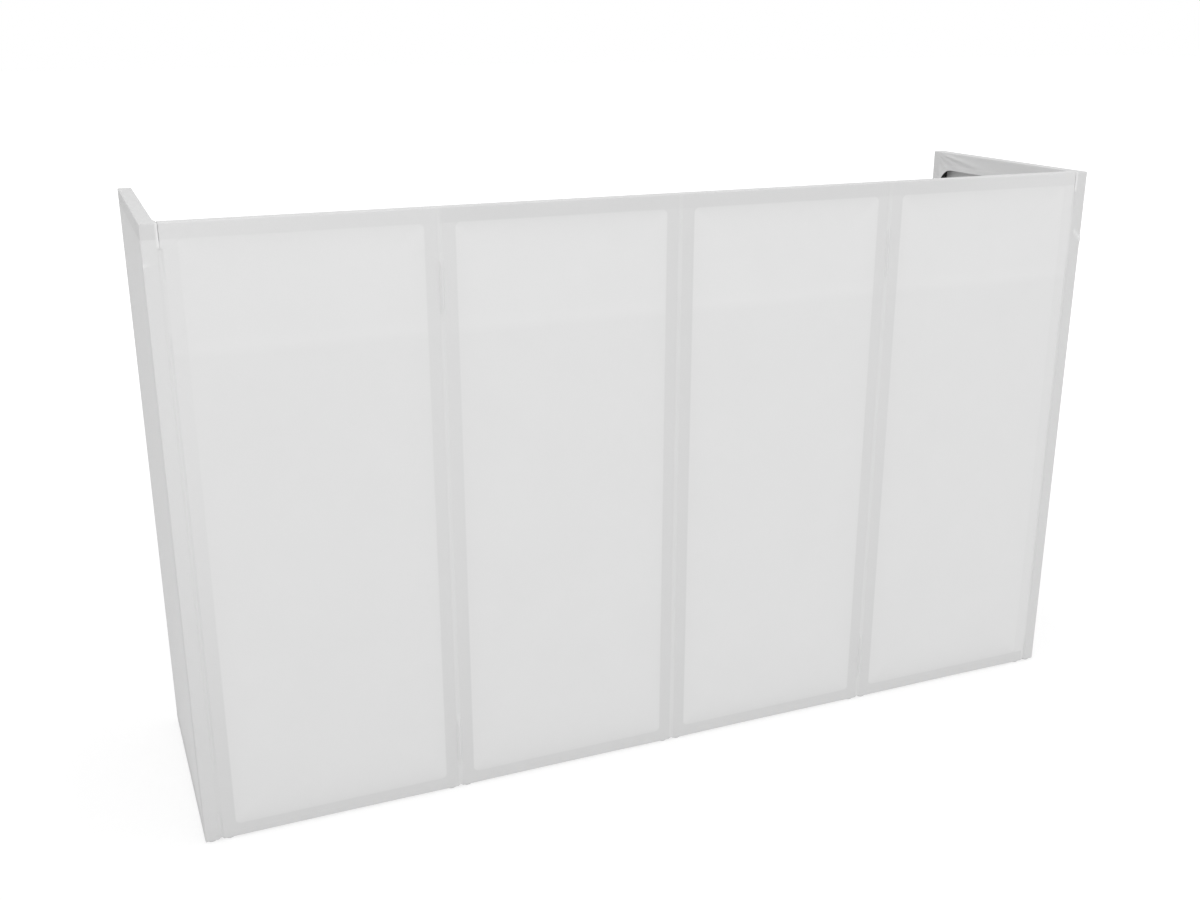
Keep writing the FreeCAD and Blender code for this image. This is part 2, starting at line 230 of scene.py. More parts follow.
def opening_depth(across: Array, up: Array, low: Pair, high: Pair) -> Array:
    """Depth inside a rectangle with round corners: the distance from its edge, negative outside.

    Args:
        across: Places along the rectangle's width.
        up: Places along its height.
        low: Its left and lower limits.
        high: Its right and upper limits.

    Returns:
        The depth at each place.
    """
    side = np.abs(across - (low[0] + high[0]) / 2.0) - (high[0] - low[0]) / 2.0 + CORNER_RADIUS
    rise = np.abs(up - (low[1] + high[1]) / 2.0) - (high[1] - low[1]) / 2.0 + CORNER_RADIUS
    outside = np.hypot(np.clip(side, 0.0, None), np.clip(rise, 0.0, None))
    return CORNER_RADIUS - outside - np.minimum(np.maximum(side, rise), 0.0)


def paint_tube_shade(depth: Array, beside_stile: Array, shares: Sequence[Array], up: Array) -> Array:
    """Painted shade of the tubes behind the cloth, which block the light through it: full over them, with a
    halo of painted shade beside them, and less near the top.

    The halo is an exponential of the depth inside the opening. The share that shows goes by a smooth step
    from its value near the top to its value at the floor, which is all of it for a rail.

    Args:
        depth: Depth inside the frame's opening.
        beside_stile: 1 nearer to a stile, 0 nearer to a rail.
        shares: Stile, rail and floor shares at each place.
        up: Heights.

    Returns:
        The painted shade at each place, from 0 to 1.
    """
    stile_share, rail_share, floor_share = shares
    tube = edge_step(-depth, BAND_BLUR)
    halo = mixed(RAIL_HALO, STILE_HALO, beside_stile) * np.exp(-np.clip(depth, 0.0, None) / HALO_REACH)
    high = mixed(rail_share, stile_share, beside_stile)
    low = mixed(1.0, floor_share, beside_stile)
    return (tube + (1.0 - tube) * halo) * height_share(high, low, up)


def height_share(high: Array, low: Array, up: Array) -> Array:
    """Share of the painted tube shade: a smooth step from the floor's to the one near the top."""
    return mixed(low, high, smooth(up / FADE_HEIGHT))


def top_fade(plain: Array, front: float, top: float) -> Array:
    """Share of the painted tube shade on the top strip, kept low there as painted light because the top is
    lit more, and 1 elsewhere.

    Args:
        plain: Points on the plain cover.
        front: Place of its front face.
        top: Height of its top.

    Returns:
        The share at each point.
    """
    ahead = smooth((front + EDGE_RADIUS - plain[:, 1]) / EDGE_RADIUS)
    return mixed(TOP_LIT_SHARE, 1.0, np.maximum(ahead, plain[:, 2] < top - EDGE_RADIUS))


def ripple(across: Array, up: Array, seed: int) -> Array:
    """Slow unevenness of stretched cloth: the mean of several sine waves of drawn directions and lengths.

    Args:
        across: Place along the cloth's width.
        up: Place along its height.
        seed: Start of the draw.

    Returns:
        Values between -1 and 1.
    """
    draw = np.random.default_rng(seed)
    turn = draw.uniform(0.0, math.pi, RIPPLE_WAVES)
    length = draw.uniform(*RIPPLE_LENGTHS, RIPPLE_WAVES)
    phase = draw.uniform(0.0, FULL_TURN, RIPPLE_WAVES)
    along = across[:, None] * np.cos(turn) + up[:, None] * np.sin(turn)
    return np.sin(FULL_TURN * along / length + phase).mean(axis=1)


def spaced(stops: Sequence[float], step: float) -> Array:
    """Values through every stop in order, no further apart than a step.

    Args:
        stops: Values that have to be met.
        step: Largest distance between neighbours.

    Returns:
        The run of values.
    """
    runs = [
        np.linspace(start, end, max(2, math.ceil(abs(end - start) / step) + 1))[:-1]
        for start, end in zip(stops, stops[1:])
    ]
    return np.concatenate([*runs, [stops[-1]]])


def tube_stops(edge: float, corner_side: int = 0) -> list[float]:
    """Places across the edge of a tube, and through the round corner of the opening beside it.

    Args:
        edge: Place of the tube's edge.
        corner_side: 1 for a corner after the edge, -1 for one before it, 0 for none.

    Returns:
        The places in rising order.
    """
    blurred = [edge - BAND_BLUR / 2.0, edge, edge + BAND_BLUR / 2.0]
    corner = CORNER_RADIUS * EDGE_SHARES[1:]
    before = edge - corner[::-1] if corner_side < 0 else []
    after = edge + corner if corner_side > 0 else []
    return [*before, *blurred, *after]


def over_tube(front: float, back: float, stops: Array, step: float) -> Array:
    """Places over a tube from the front face to the back face, close together at both round edges."""
    return spaced([*(front + stops), *(back - stops[::-1])], step)


def path_length(path: Array) -> Array:
    """Length of a path up to each of its points: the running sum of the distances between them."""
    return np.concatenate([[0.0], np.cumsum(np.linalg.norm(np.diff(path, axis=0), axis=1))])


@dataclass
class Patch:
    """Grid of points with a place on the flat cloth for each, and the side that faces outwards."""

    points: Array
    cloth: Array
    outward: Array

    def quads(self) -> Index:
        """Corners of every cell, turned so that the first cell faces outwards.

        Returns:
            Four point numbers for each cell.
        """
        rows, cols = self.points.shape[:2]
        number = np.arange(rows * cols).reshape(rows, cols)
        corners = [number[:-1, :-1], number[:-1, 1:], number[1:, 1:], number[1:, :-1]]
        across = self.points[0, 1] - self.points[0, 0]
        up = self.points[1, 0] - self.points[0, 0]
        facing = np.dot(np.cross(across, up), self.outward)
        return np.stack(corners, axis=-1).reshape(-1, 4)[:, :: 1 if facing > 0 else -1]


@dataclass
class Shell:
    """Mesh of quads with a place on the flat cloth for each corner."""

    points: Array
    quads: Index
    cloth: Array


def flat_patch(
    axis: Axis, level: float, cols: Array, rows: Array, outward: int, run: Array | None = None
) -> Patch:
    """Grid on a plane square to one axis, its columns and rows along the other two in order.

    Args:
        axis: Axis that the plane is square to.
        level: Where it cuts that axis.
        cols: Places of the columns.
        rows: Places of the rows.
        outward: Sign of the outward direction along the axis.
        run: Places of the rows along the flat cloth, where they differ.

    Returns:
        The grid.
    """
    col_axis, row_axis = (other.value for other in Axis if other is not axis)
    points = np.empty((len(rows), len(cols), 3))
    points[..., axis.value] = level
    points[..., col_axis], points[..., row_axis] = np.meshgrid(cols, rows)
    cloth = np.stack(np.meshgrid(cols, rows if run is None else run), axis=-1)
    return Patch(points, cloth, np.eye(3)[axis.value] * outward)


def weld(patches: Sequence[Patch]) -> Shell:
    """One shell of several patches, in which points at one place are one point.

    Args:
        patches: Grids that meet along shared rows or columns.

    Returns:
        The joined shell.
    """
    starts = np.cumsum([0] + [patch.points[..., 0].size for patch in patches])
    points = np.concatenate([patch.points.reshape(-1, 3) for patch in patches])
    cloth = np.concatenate([patch.cloth.reshape(-1, 2) for patch in patches])
    quads = np.concatenate([patch.quads() + start for patch, start in zip(patches, starts)])
    keys = np.round(points / WELD_DISTANCE).astype(np.int64)
    _, first, place = np.unique(keys, axis=0, return_index=True, return_inverse=True)
    return Shell(points[first], place.reshape(-1)[quads], cloth[quads].reshape(-1, 2))


def rounded(points: Array, low: Array, high: Array, radius: Array) -> Array:
    """Box with round edges: each point lies one radius from the nearest point of a box smaller by it.

    Args:
        points: Points on the sharp box.
        low: Its lower limits, minus infinity where a side is open.
        high: Its upper limits, infinity where a side is open.
        radius: Radius of the edges at each point.

    Returns:
        The points moved onto the round box.
    """
    reach = radius[:, None]
    core = np.clip(points, low + reach, high - reach)
    arm = points - core
    length = np.linalg.norm(arm, axis=1, keepdims=True)
    return core + arm * np.minimum(1.0, reach / np.maximum(length, WELD_DISTANCE))


def sharpen_rim(mesh: bpy.types.Mesh) -> None:
    """Marks every edge with a single face as sharp, so that a rim added there leaves the shading flat.

    Args:
        mesh: Mesh whose open edges are marked.
    """
    owners = np.zeros(len(mesh.loops), np.int32)
    mesh.loops.foreach_get("edge_index", owners)
    sharp = np.zeros(len(mesh.edges), bool)
    mesh.edges.foreach_get("use_edge_sharp", sharp)
    mesh.edges.foreach_set("use_edge_sharp", sharp | (np.bincount(owners, minlength=len(sharp)) == 1))


def mesh_object(name: str, points: Array, faces: list[list[int]], finish: Finish) -> Piece:
    """Smooth mesh object at the origin, with its place in its points.

    Args:
        name: Name of the piece.
        points: Its points.
        faces: Corner numbers of its faces.
        finish: Its material.

    Returns:
        The new object, linked to the scene.
    """
    mesh = bpy.data.meshes.new(name)
    mesh.from_pydata(points.tolist(), [], faces)
    mesh.polygons.foreach_set("use_smooth", np.ones(len(mesh.polygons), bool))
    mesh.set_sharp_from_angle(angle=SHARP_ANGLE)
    sharpen_rim(mesh)
    mesh.update()
    mesh.materials.append(finish)
    piece = bpy.data.objects.new(name, mesh)
    bpy.context.scene.collection.objects.link(piece)
    log.info("%s: %d points, %d faces", name, len(mesh.vertices), len(mesh.polygons))
    return piece


def cloth_object(name: str, shell: Shell, tube: Array, layer_and_highlight: Array, finish: Finish) -> Piece:
    """Cloth piece with thickness, cloth coordinates and the two attributes that its finish reads.

    Args:
        name: Name of the piece.
        shell: Its outer face.
        tube: Painted shade at each point, from 0 to 1, where the tubes behind the cloth block the light
            through it.
        layer_and_highlight: Extra brightness at each point, from 0 to 1: a doubled flap of cloth, and a
            painted highlight along a slit edge and a crease.
        finish: Its material.

    Returns:
        The new object.
    """
    piece = mesh_object(name, shell.points, shell.quads.tolist(), finish)
    mesh = piece.data
    mesh.uv_layers.new(name="UVMap").data.foreach_set("uv", shell.cloth.astype(np.float32).ravel())
    for shown, values in ((Shown.TUBE, tube), (Shown.LAYER, layer_and_highlight)):
        attribute = mesh.attributes.new(shown.value, "FLOAT", "POINT")
        attribute.data.foreach_set("value", values.astype(np.float32))
    thickness = piece.modifiers.new("thickness", "SOLIDIFY")
    thickness.thickness = CLOTH_THICKNESS
    thickness.offset = -1.0
    return piece


class Nodes:
    """Short way to write a node tree."""

    def __init__(self, owner: bpy.types.Material | bpy.types.World) -> None:
        """Takes up the tree of a material or of the surroundings."""
        owner.use_nodes = True
        self.tree = owner.node_tree

    def add(self, kind: str, inputs: dict[str | int, object], **settings: object) -> bpy.types.Node:
        """Adds a node.

        Args:
            kind: Blender's name of the node type.
            inputs: Value or socket for each named or numbered input.
            settings: Properties of the node.

        Returns:
            The new node.
        """
        node = self.tree.nodes.new(kind)
        for word, value in settings.items():
            setattr(node, word, value)
        for place, value in inputs.items():
            self.feed(node.inputs[place], value)
        return node

    def feed(self, socket: Socket, value: object) -> None:
        """Links a socket to another, or sets its value.

        Args:
            socket: Input to fill.
            value: Output to link it to, or the value itself.
        """
        if isinstance(value, Socket):
            self.tree.links.new(value, socket)
        else:
            socket.default_value = value

    def math(self, operation: str, first: object, second: object = 0.0) -> Socket:
        """Result of a sum, product or other function of two values."""
        return self.add("ShaderNodeMath", {0: first, 1: second}, operation=operation).outputs[0]

    def sine(self, value: object, pitch: float) -> Socket:
        """Sine wave of a length, repeated at every pitch."""
        return self.math("SINE", self.math("MULTIPLY", value, FULL_TURN / pitch))

    def mix(self, share: object, first: object, second: object) -> Socket:
        """Colour between two colours, which the mixing node takes at its inputs 6 and 7."""
        return self.add("ShaderNodeMix", {0: share, 6: first, 7: second}, data_type="RGBA").outputs[2]

    def fit(self, value: object, low: float, high: float, start: float = 0.0, end: float = 1.0) -> Socket:
        """Value between a start and an end brought to the range from low to high."""
        inputs = {"Value": value, "From Min": start, "From Max": end, "To Min": low, "To Max": high}
        return self.add("ShaderNodeMapRange", inputs).outputs[0]

    def noise(self, place: object, per_metre: float, detail: float = 2.0) -> Socket:
        """Cloudy values from 0 to 1 with so many clouds to the metre."""
        inputs = {"Vector": place, "Scale": per_metre, "Detail": detail}
        return self.add("ShaderNodeTexNoise", inputs).outputs[0]

    def streaks(self, place: object, per_metre: Point, detail: float) -> Socket:
        """Cloudy values with a different number of clouds to the metre along each axis."""
        return self.noise(self.add("ShaderNodeMapping", {0: place, 3: per_metre}).outputs[0], 1.0, detail)

    def place(self, kind: str = "Object") -> Socket:
        """Object coordinates, or another kind of coordinates."""
        return self.add("ShaderNodeTexCoord", {}).outputs[kind]

    def axes(self, place: object) -> list[Socket]:
        """The single coordinates of a place."""
        return list(self.add("ShaderNodeSeparateXYZ", {0: place}).outputs)

    def attribute(self, shown: Shown) -> Socket:
        """Value of a point attribute."""
        return self.add("ShaderNodeAttribute", {}, attribute_name=shown.value).outputs["Fac"]

    def seen_rays(self) -> Socket:
        """1 for rays from the camera and for reflected or transmitted ones, otherwise 0.

        Returns:
            The larger of the three ray sockets.
        """
        path = self.add("ShaderNodeLightPath", {}).outputs
        reflected = self.math("MAXIMUM", path["Is Camera Ray"], path["Is Glossy Ray"])
        return self.math("MAXIMUM", reflected, path["Is Transmission Ray"])


class Surface(Nodes):
    """Node tree of one material."""

    def __init__(self, name: str) -> None:
        """Makes a material with the standard surface shader.

        Args:
            name: Name of the material.
        """
        self.material = bpy.data.materials.new(name)
        super().__init__(self.material)
        self.shader = self.tree.nodes["Principled BSDF"]

    def bump(self, height: object, strength: float, depth: float) -> None:
        """Feeds a relief of the given depth to the shader's normal."""
        inputs = {"Strength": strength, "Distance": depth, "Height": height}
        self.feed(self.shader.inputs["Normal"], self.add("ShaderNodeBump", inputs).outputs[0])

    def finish(self, **values: object) -> None:
        """Sets or links the shader's sockets, named with underscores for spaces."""
        for word, value in values.items():
            self.feed(self.shader.inputs[word.replace("_", " ")], value)


def grey(level: float) -> tuple[float, float, float, float]:
    """Neutral colour of one level."""
    return (level, level, level, 1.0)


@dataclass(frozen=True)
class StretchCloth:
    """Fine white knit with some stretch, with painted shade in soft bands where the tubes behind it block
    the light through it.
    """

    name: str = "white_stretch_knit"
    # clear is the plain cloth; over_tube is painted shade where a tube behind blocks the light through the
    # cloth; the next colour is a doubled flap and a painted highlight
    clear: float = 0.76
    over_tube: float = 0.668
    doubled_and_highlit: float = 0.86
    clouds_per_metre: float = 9.0
    fibres_per_metre: float = 1400.0
    tube_change: Pair = (0.8, 1.15)
    cloud_change: Pair = (0.985, 1.01)
    fibre_change: Pair = (0.97, 1.03)
    wale_pitch: float = 0.0011
    course_pitch: float = 0.0008
    knit_depth: float = 0.00012
    knit_strength: float = 0.35
    roughness: Pair = (0.7, 0.82)
    specular: float = 0.25
    sheen: float = 0.15
    sheen_roughness: float = 0.45

    def material(self) -> Finish:
        """Knit of wales and courses on the cloth's own coordinates, with the painted tube shade, the
        doubled cloth and the painted highlights that its two attributes carry.

        The knit's height is the product of both sine waves plus the size of the wales, plus the fibres.

        Returns:
            The material.
        """
        nodes = Surface(self.name)
        place = nodes.place()
        clouds = nodes.noise(place, self.clouds_per_metre, detail=3.0)
        fibres = nodes.noise(place, self.fibres_per_metre, detail=1.0)
        # Painted tube shade, clouded
        tube = nodes.math("MULTIPLY", nodes.attribute(Shown.TUBE), nodes.fit(clouds, *self.tube_change))
        colour = nodes.mix(nodes.attribute(Shown.LAYER), grey(self.clear), grey(self.doubled_and_highlit))
        colour = nodes.mix(tube, colour, grey(self.over_tube))
        change = nodes.fit(clouds, *self.cloud_change), nodes.fit(fibres, *self.fibre_change)
        shaded = {0: colour, 3: nodes.math("MULTIPLY", *change)}
        across, along, _ = nodes.axes(nodes.place("UV"))
        wales = nodes.sine(across, self.wale_pitch)
        courses = nodes.sine(along, self.course_pitch)
        knit = nodes.math("ADD", nodes.math("MULTIPLY", wales, courses), nodes.math("ABSOLUTE", wales))
        nodes.bump(nodes.math("ADD", knit, fibres), self.knit_strength, self.knit_depth)
        nodes.finish(Base_Color=nodes.add("ShaderNodeVectorMath", shaded, operation="SCALE").outputs[0])
        nodes.finish(Roughness=nodes.fit(clouds, *self.roughness), Specular_IOR_Level=self.specular)
        nodes.finish(Sheen_Weight=self.sheen, Sheen_Roughness=self.sheen_roughness)
        return nodes.material


@dataclass(frozen=True)
class SewingThread:
    """Twisted white polyester thread."""

    name: str = "white_sewing_thread"
    levels: Pair = (0.70 * 0.94, 0.70 * 1.06)
    clouds_per_metre: float = 120.0
    twist_pitch: float = 0.0007
    twist_depth: float = 0.0001
    twist_strength: float = 0.4
    roughness: Pair = (0.45, 0.6)
    sheen: float = 0.2

    def material(self) -> Finish:
        """Slanting twist lines across the thread, a sine of the sum of the coordinates, on a cloudy shade.

        Returns:
            The material.
        """
        nodes = Surface(self.name)
        place = nodes.place()
        across, deep, up = nodes.axes(place)
        slant = nodes.math("ADD", nodes.math("ADD", across, deep), up)
        clouds = nodes.noise(place, self.clouds_per_metre)
        nodes.finish(Base_Color=nodes.mix(clouds, *(grey(level) for level in self.levels)))
        nodes.finish(Roughness=nodes.fit(clouds, *self.roughness), Sheen_Weight=self.sheen)
        nodes.bump(nodes.sine(slant, self.twist_pitch), self.twist_strength, self.twist_depth)
        return nodes.material


@dataclass(frozen=True)
class PowderCoat:
    """Satin black powder coat on the tubes: orange peel, faint dust and scuffs near the floor."""

    name: str = "black_powder_coat"
    level: float = 0.016
    dust_change: Pair = (0.8, 1.5)
    clouds_per_metre: float = 14.0
    scuffed: float = 0.07
    scuff_height: float = 0.09
    scuffs_above: float = 0.12
    scratches_per_metre: Point = (160.0, 160.0, 30.0)
    scratched: Pair = (0.6, 0.74)
    roughness: Pair = (0.36, 0.5)
    scuff_roughness: float = 0.2
    peel_per_metre: float = 900.0
    peel_depth: float = 0.00015
    peel_strength: float = 0.25

    def material(self) -> Finish:
        """Fine orange peel relief, cloudy gloss, and pale scuffs that fade with height.

        Returns:
            The material.
        """
        nodes = Surface(self.name)
        place = nodes.place()
        clouds = nodes.noise(place, self.clouds_per_metre, detail=4.0)
        scratches = nodes.streaks(place, self.scratches_per_metre, detail=5.0)
        low = nodes.fit(nodes.axes(place)[2], 1.0, self.scuffs_above, 0.0, self.scuff_height)
        wear = nodes.math("MULTIPLY", low, nodes.fit(scratches, 0.0, 1.0, *self.scratched))
        dust = nodes.mix(clouds, *(grey(self.level * change) for change in self.dust_change))
        worn = nodes.math("MULTIPLY", wear, self.scuff_roughness)
        nodes.finish(Base_Color=nodes.mix(wear, dust, grey(self.scuffed)))
        nodes.finish(Roughness=nodes.math("ADD", nodes.fit(clouds, *self.roughness), worn))
        nodes.bump(nodes.noise(place, self.peel_per_metre), self.peel_strength, self.peel_depth)
        return nodes.material


@dataclass(frozen=True)
class Metal:
    """Drawn or pressed metal with fine marks along it and a little tarnish."""

    name: str
    colour: Point
    tarnish: Point
    roughness: Pair = (0.28, 0.45)
    marks_per_metre: Point = (900.0, 900.0, 60.0)
    metallic: float = 1.0
    clouds_per_metre: float = 160.0
    mark_depth: float = 0.00008
    mark_strength: float = 0.2

    def material(self) -> Finish:
        """Streaks, clouds of tarnish, and a shallow relief of the streaks.

        Returns:
            The material.
        """
        nodes = Surface(self.name)
        place = nodes.place()
        streaks = nodes.streaks(place, self.marks_per_metre, detail=3.0)
        clouds = nodes.noise(place, self.clouds_per_metre, detail=4.0)
        nodes.finish(Base_Color=nodes.mix(clouds, (*self.colour, 1.0), (*self.tarnish, 1.0)))
        nodes.finish(Roughness=nodes.fit(streaks, *self.roughness), Metallic=self.metallic)
        nodes.bump(streaks, self.mark_strength, self.mark_depth)
        return nodes.material


@dataclass(frozen=True)
class Moulded:
    """Injection moulded plastic with a spark-eroded grain."""

    name: str
    level: float
    worn: float
    clouds_per_metre: float = 130.0
    roughness: Pair = (0.42, 0.6)
    specular: float = 0.4
    grain_per_metre: float = 1800.0
    grain_depth: float = 0.0001
    grain_strength: float = 0.2

    def material(self) -> Finish:
        """Fine grain relief, clouded gloss, and a change of shade in patches.

        Returns:
            The material.
        """
        nodes = Surface(self.name)
        place = nodes.place()
        clouds = nodes.noise(place, self.clouds_per_metre, detail=4.0)
        nodes.finish(Base_Color=nodes.mix(clouds, grey(self.level), grey(self.worn)))
        nodes.finish(Roughness=nodes.fit(clouds, *self.roughness), Specular_IOR_Level=self.specular)
        nodes.bump(nodes.noise(place, self.grain_per_metre), self.grain_strength, self.grain_depth)
        return nodes.material


@dataclass(frozen=True)
class Stitching:
    """Lockstitch: short spindles of thread, one after another along a line."""

    length: float = 0.0031
    pitch: float = 0.0042
    radius: float = 0.00028
    sides: int = 6
    ring_places: tuple[float, ...] = (-1.0, -0.7, 0.0, 0.7, 1.0)
    ring_widths: tuple[float, ...] = (0.35, 0.9, 1.0, 0.9, 0.35)

    def build(self, name: str, rows: Sequence[tuple[Array, Array]], finish: Finish) -> Piece:
        """Spindles whose rings are circles across the line, small at both ends and full between.

        Args:
            name: Name of the piece.
            rows: Points of each line of stitches, with the outward direction of the cloth at each point.
            finish: Its material.

        Returns:
            The stitches as one object.
        """
        parts = zip(*(self.along(*row) for row in rows))
        middles, tangents, normals = (np.concatenate(part) for part in parts)
        sideways = np.cross(tangents, normals)
        reach = np.array(self.ring_places) * self.length / 2.0
        width = np.array(self.ring_widths) * self.radius
        turn = np.linspace(0.0, FULL_TURN, self.sides, endpoint=False)[:, None, None]
        ring = np.cos(turn) * sideways + np.sin(turn) * normals
        axis = middles + tangents * reach[:, None, None]
        points = axis[:, None] + ring[None] * width[:, None, None, None]
        number = np.arange(len(reach) * self.sides).reshape(len(reach), self.sides)
        after = np.roll(number, -1, axis=1)
        quads = np.stack([number[:-1], number[1:], after[1:], after[:-1]], axis=-1).reshape(-1, 4)
        ends = np.stack([number[0], number[-1][::-1]])
        starts = np.arange(len(middles))[:, None, None] * number.size
        faces = [face for part in (quads, ends) for face in np.concatenate(part + starts).tolist()]
        return mesh_object(name, points.transpose(2, 0, 1, 3).reshape(-1, 3), faces, finish)

    def along(self, path: Array, outward: Array) -> tuple[Array, Array, Array]:
        """Middle, direction and outward side of every stitch, at equal distances along a line.

        Args:
            path: Points of the line.
            outward: Outward direction at each point.

        Returns:
            Three arrays with one row for each stitch.
        """
        run = path_length(path)
        at = np.arange(self.pitch / 2.0, run[-1], self.pitch)

        def read(values: Array, where: Array) -> Array:
            """Values between the line's points."""
            return np.stack([np.interp(where, run, column) for column in values.T], axis=1)

        tangents = read(path, at + self.length / 2.0) - read(path, at - self.length / 2.0)
        tangents /= np.maximum(np.linalg.norm(tangents, axis=1, keepdims=True), WELD_DISTANCE)
        normals = read(outward, at)
        normals /= np.linalg.norm(normals, axis=1, keepdims=True)
        return read(path, at), tangents, normals


class Cover:
    """What the pockets in front and the sleeves of the wings share: opening, lower edge and joining to the
    panel.

    Places along a panel are X on a pocket, and distances from the front end on a sleeve.
    """

    body: str
    tube: float
    hem: float
    skirt_rise: float
    skirt_fade: float
    rail_low: float
    rail_top: float
    floor_edge: float
    top: float
    inner: Pair

    def read_heights(self, stile: tuple[Vector, Vector], top: float) -> None:
        """Keeps the heights of the rails, of the lower edge and of the top.

        Args:
            stile: Lowest and highest corner of one of the panel's stiles.
            top: Height of the cover's top.
        """
        self.rail_low = stile[0].z
        self.rail_top = stile[1].z
        self.floor_edge = self.rail_low - SKIRT_DROP
        self.top = top

    def beside_stile(self, beside: Array, up: Array) -> Array:
        """1 where a stile is nearer than a rail, and 0 over the rails.

        Args:
            beside: Distances from the nearer side of the panel.
            up: Heights.

        Returns:
            The product of a step below the rails and a step along the slant between both distances.
        """
        between = np.minimum(up - self.rail_low, self.rail_top - up)
        return edge_step(between - self.tube, BAND_BLUR) * edge_step(between - beside, self.tube)

    def depth_inside(self, plain: Array) -> Array:
        """Depth of points inside the frame's opening, between the stiles and between the rails.

        Args:
            plain: Points on the plain cover.

        Returns:
            The depth at each point.
        """
        low = (self.inner[0], self.rail_low + self.tube)
        high = (self.inner[1], self.rail_top - self.tube)
        return opening_depth(plain[:, 0], plain[:, 2], low, high)

    def arch(self, along: Array) -> Array:
        """Flat arch of the lower edge: a parabola that is 0 at both stiles and the rise in the middle.

        Args:
            along: Places along the edge.

        Returns:
            The lift at each place.
        """
        low, high = self.inner
        half = (high - low) / 2.0
        return self.skirt_rise * np.clip(1.0 - ((along - (low + high) / 2.0) / half) ** 2, 0.0, None)

    def skirt(self, along: Array, up: Array) -> Array:
        """Lift by the lower edge's arch, fading upwards by a smooth step."""
        return self.arch(along) * (1.0 - smooth((up - self.floor_edge) / self.skirt_fade))

    def hem_line(self, along: Array) -> Array:
        """Heights of the stitches along the lower hem, which follow most of the edge's arch."""
        return self.floor_edge + self.hem + self.arch(along) * STITCH_LIFT

    def declare(
        self,
        sheet: Piece,
        extras: list[Piece],
        flat: Pair,
        stiles: Sequence[str],
        area: float | None = None,
    ) -> None:
        """Joins the cover's pieces to the panel and hides the frame's own cover.

        Args:
            sheet: The cloth itself.
            extras: The pieces sewn to it.
            flat: Width and length of the cut. Not used.
            stiles: Words for the panel's two stiles. Not used.
            area: Flat area, where the cut isn't a rectangle. Not used.
        """
        for piece in (sheet, *extras):
            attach(piece, self.body)
        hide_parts(f"{self.body}_cover")


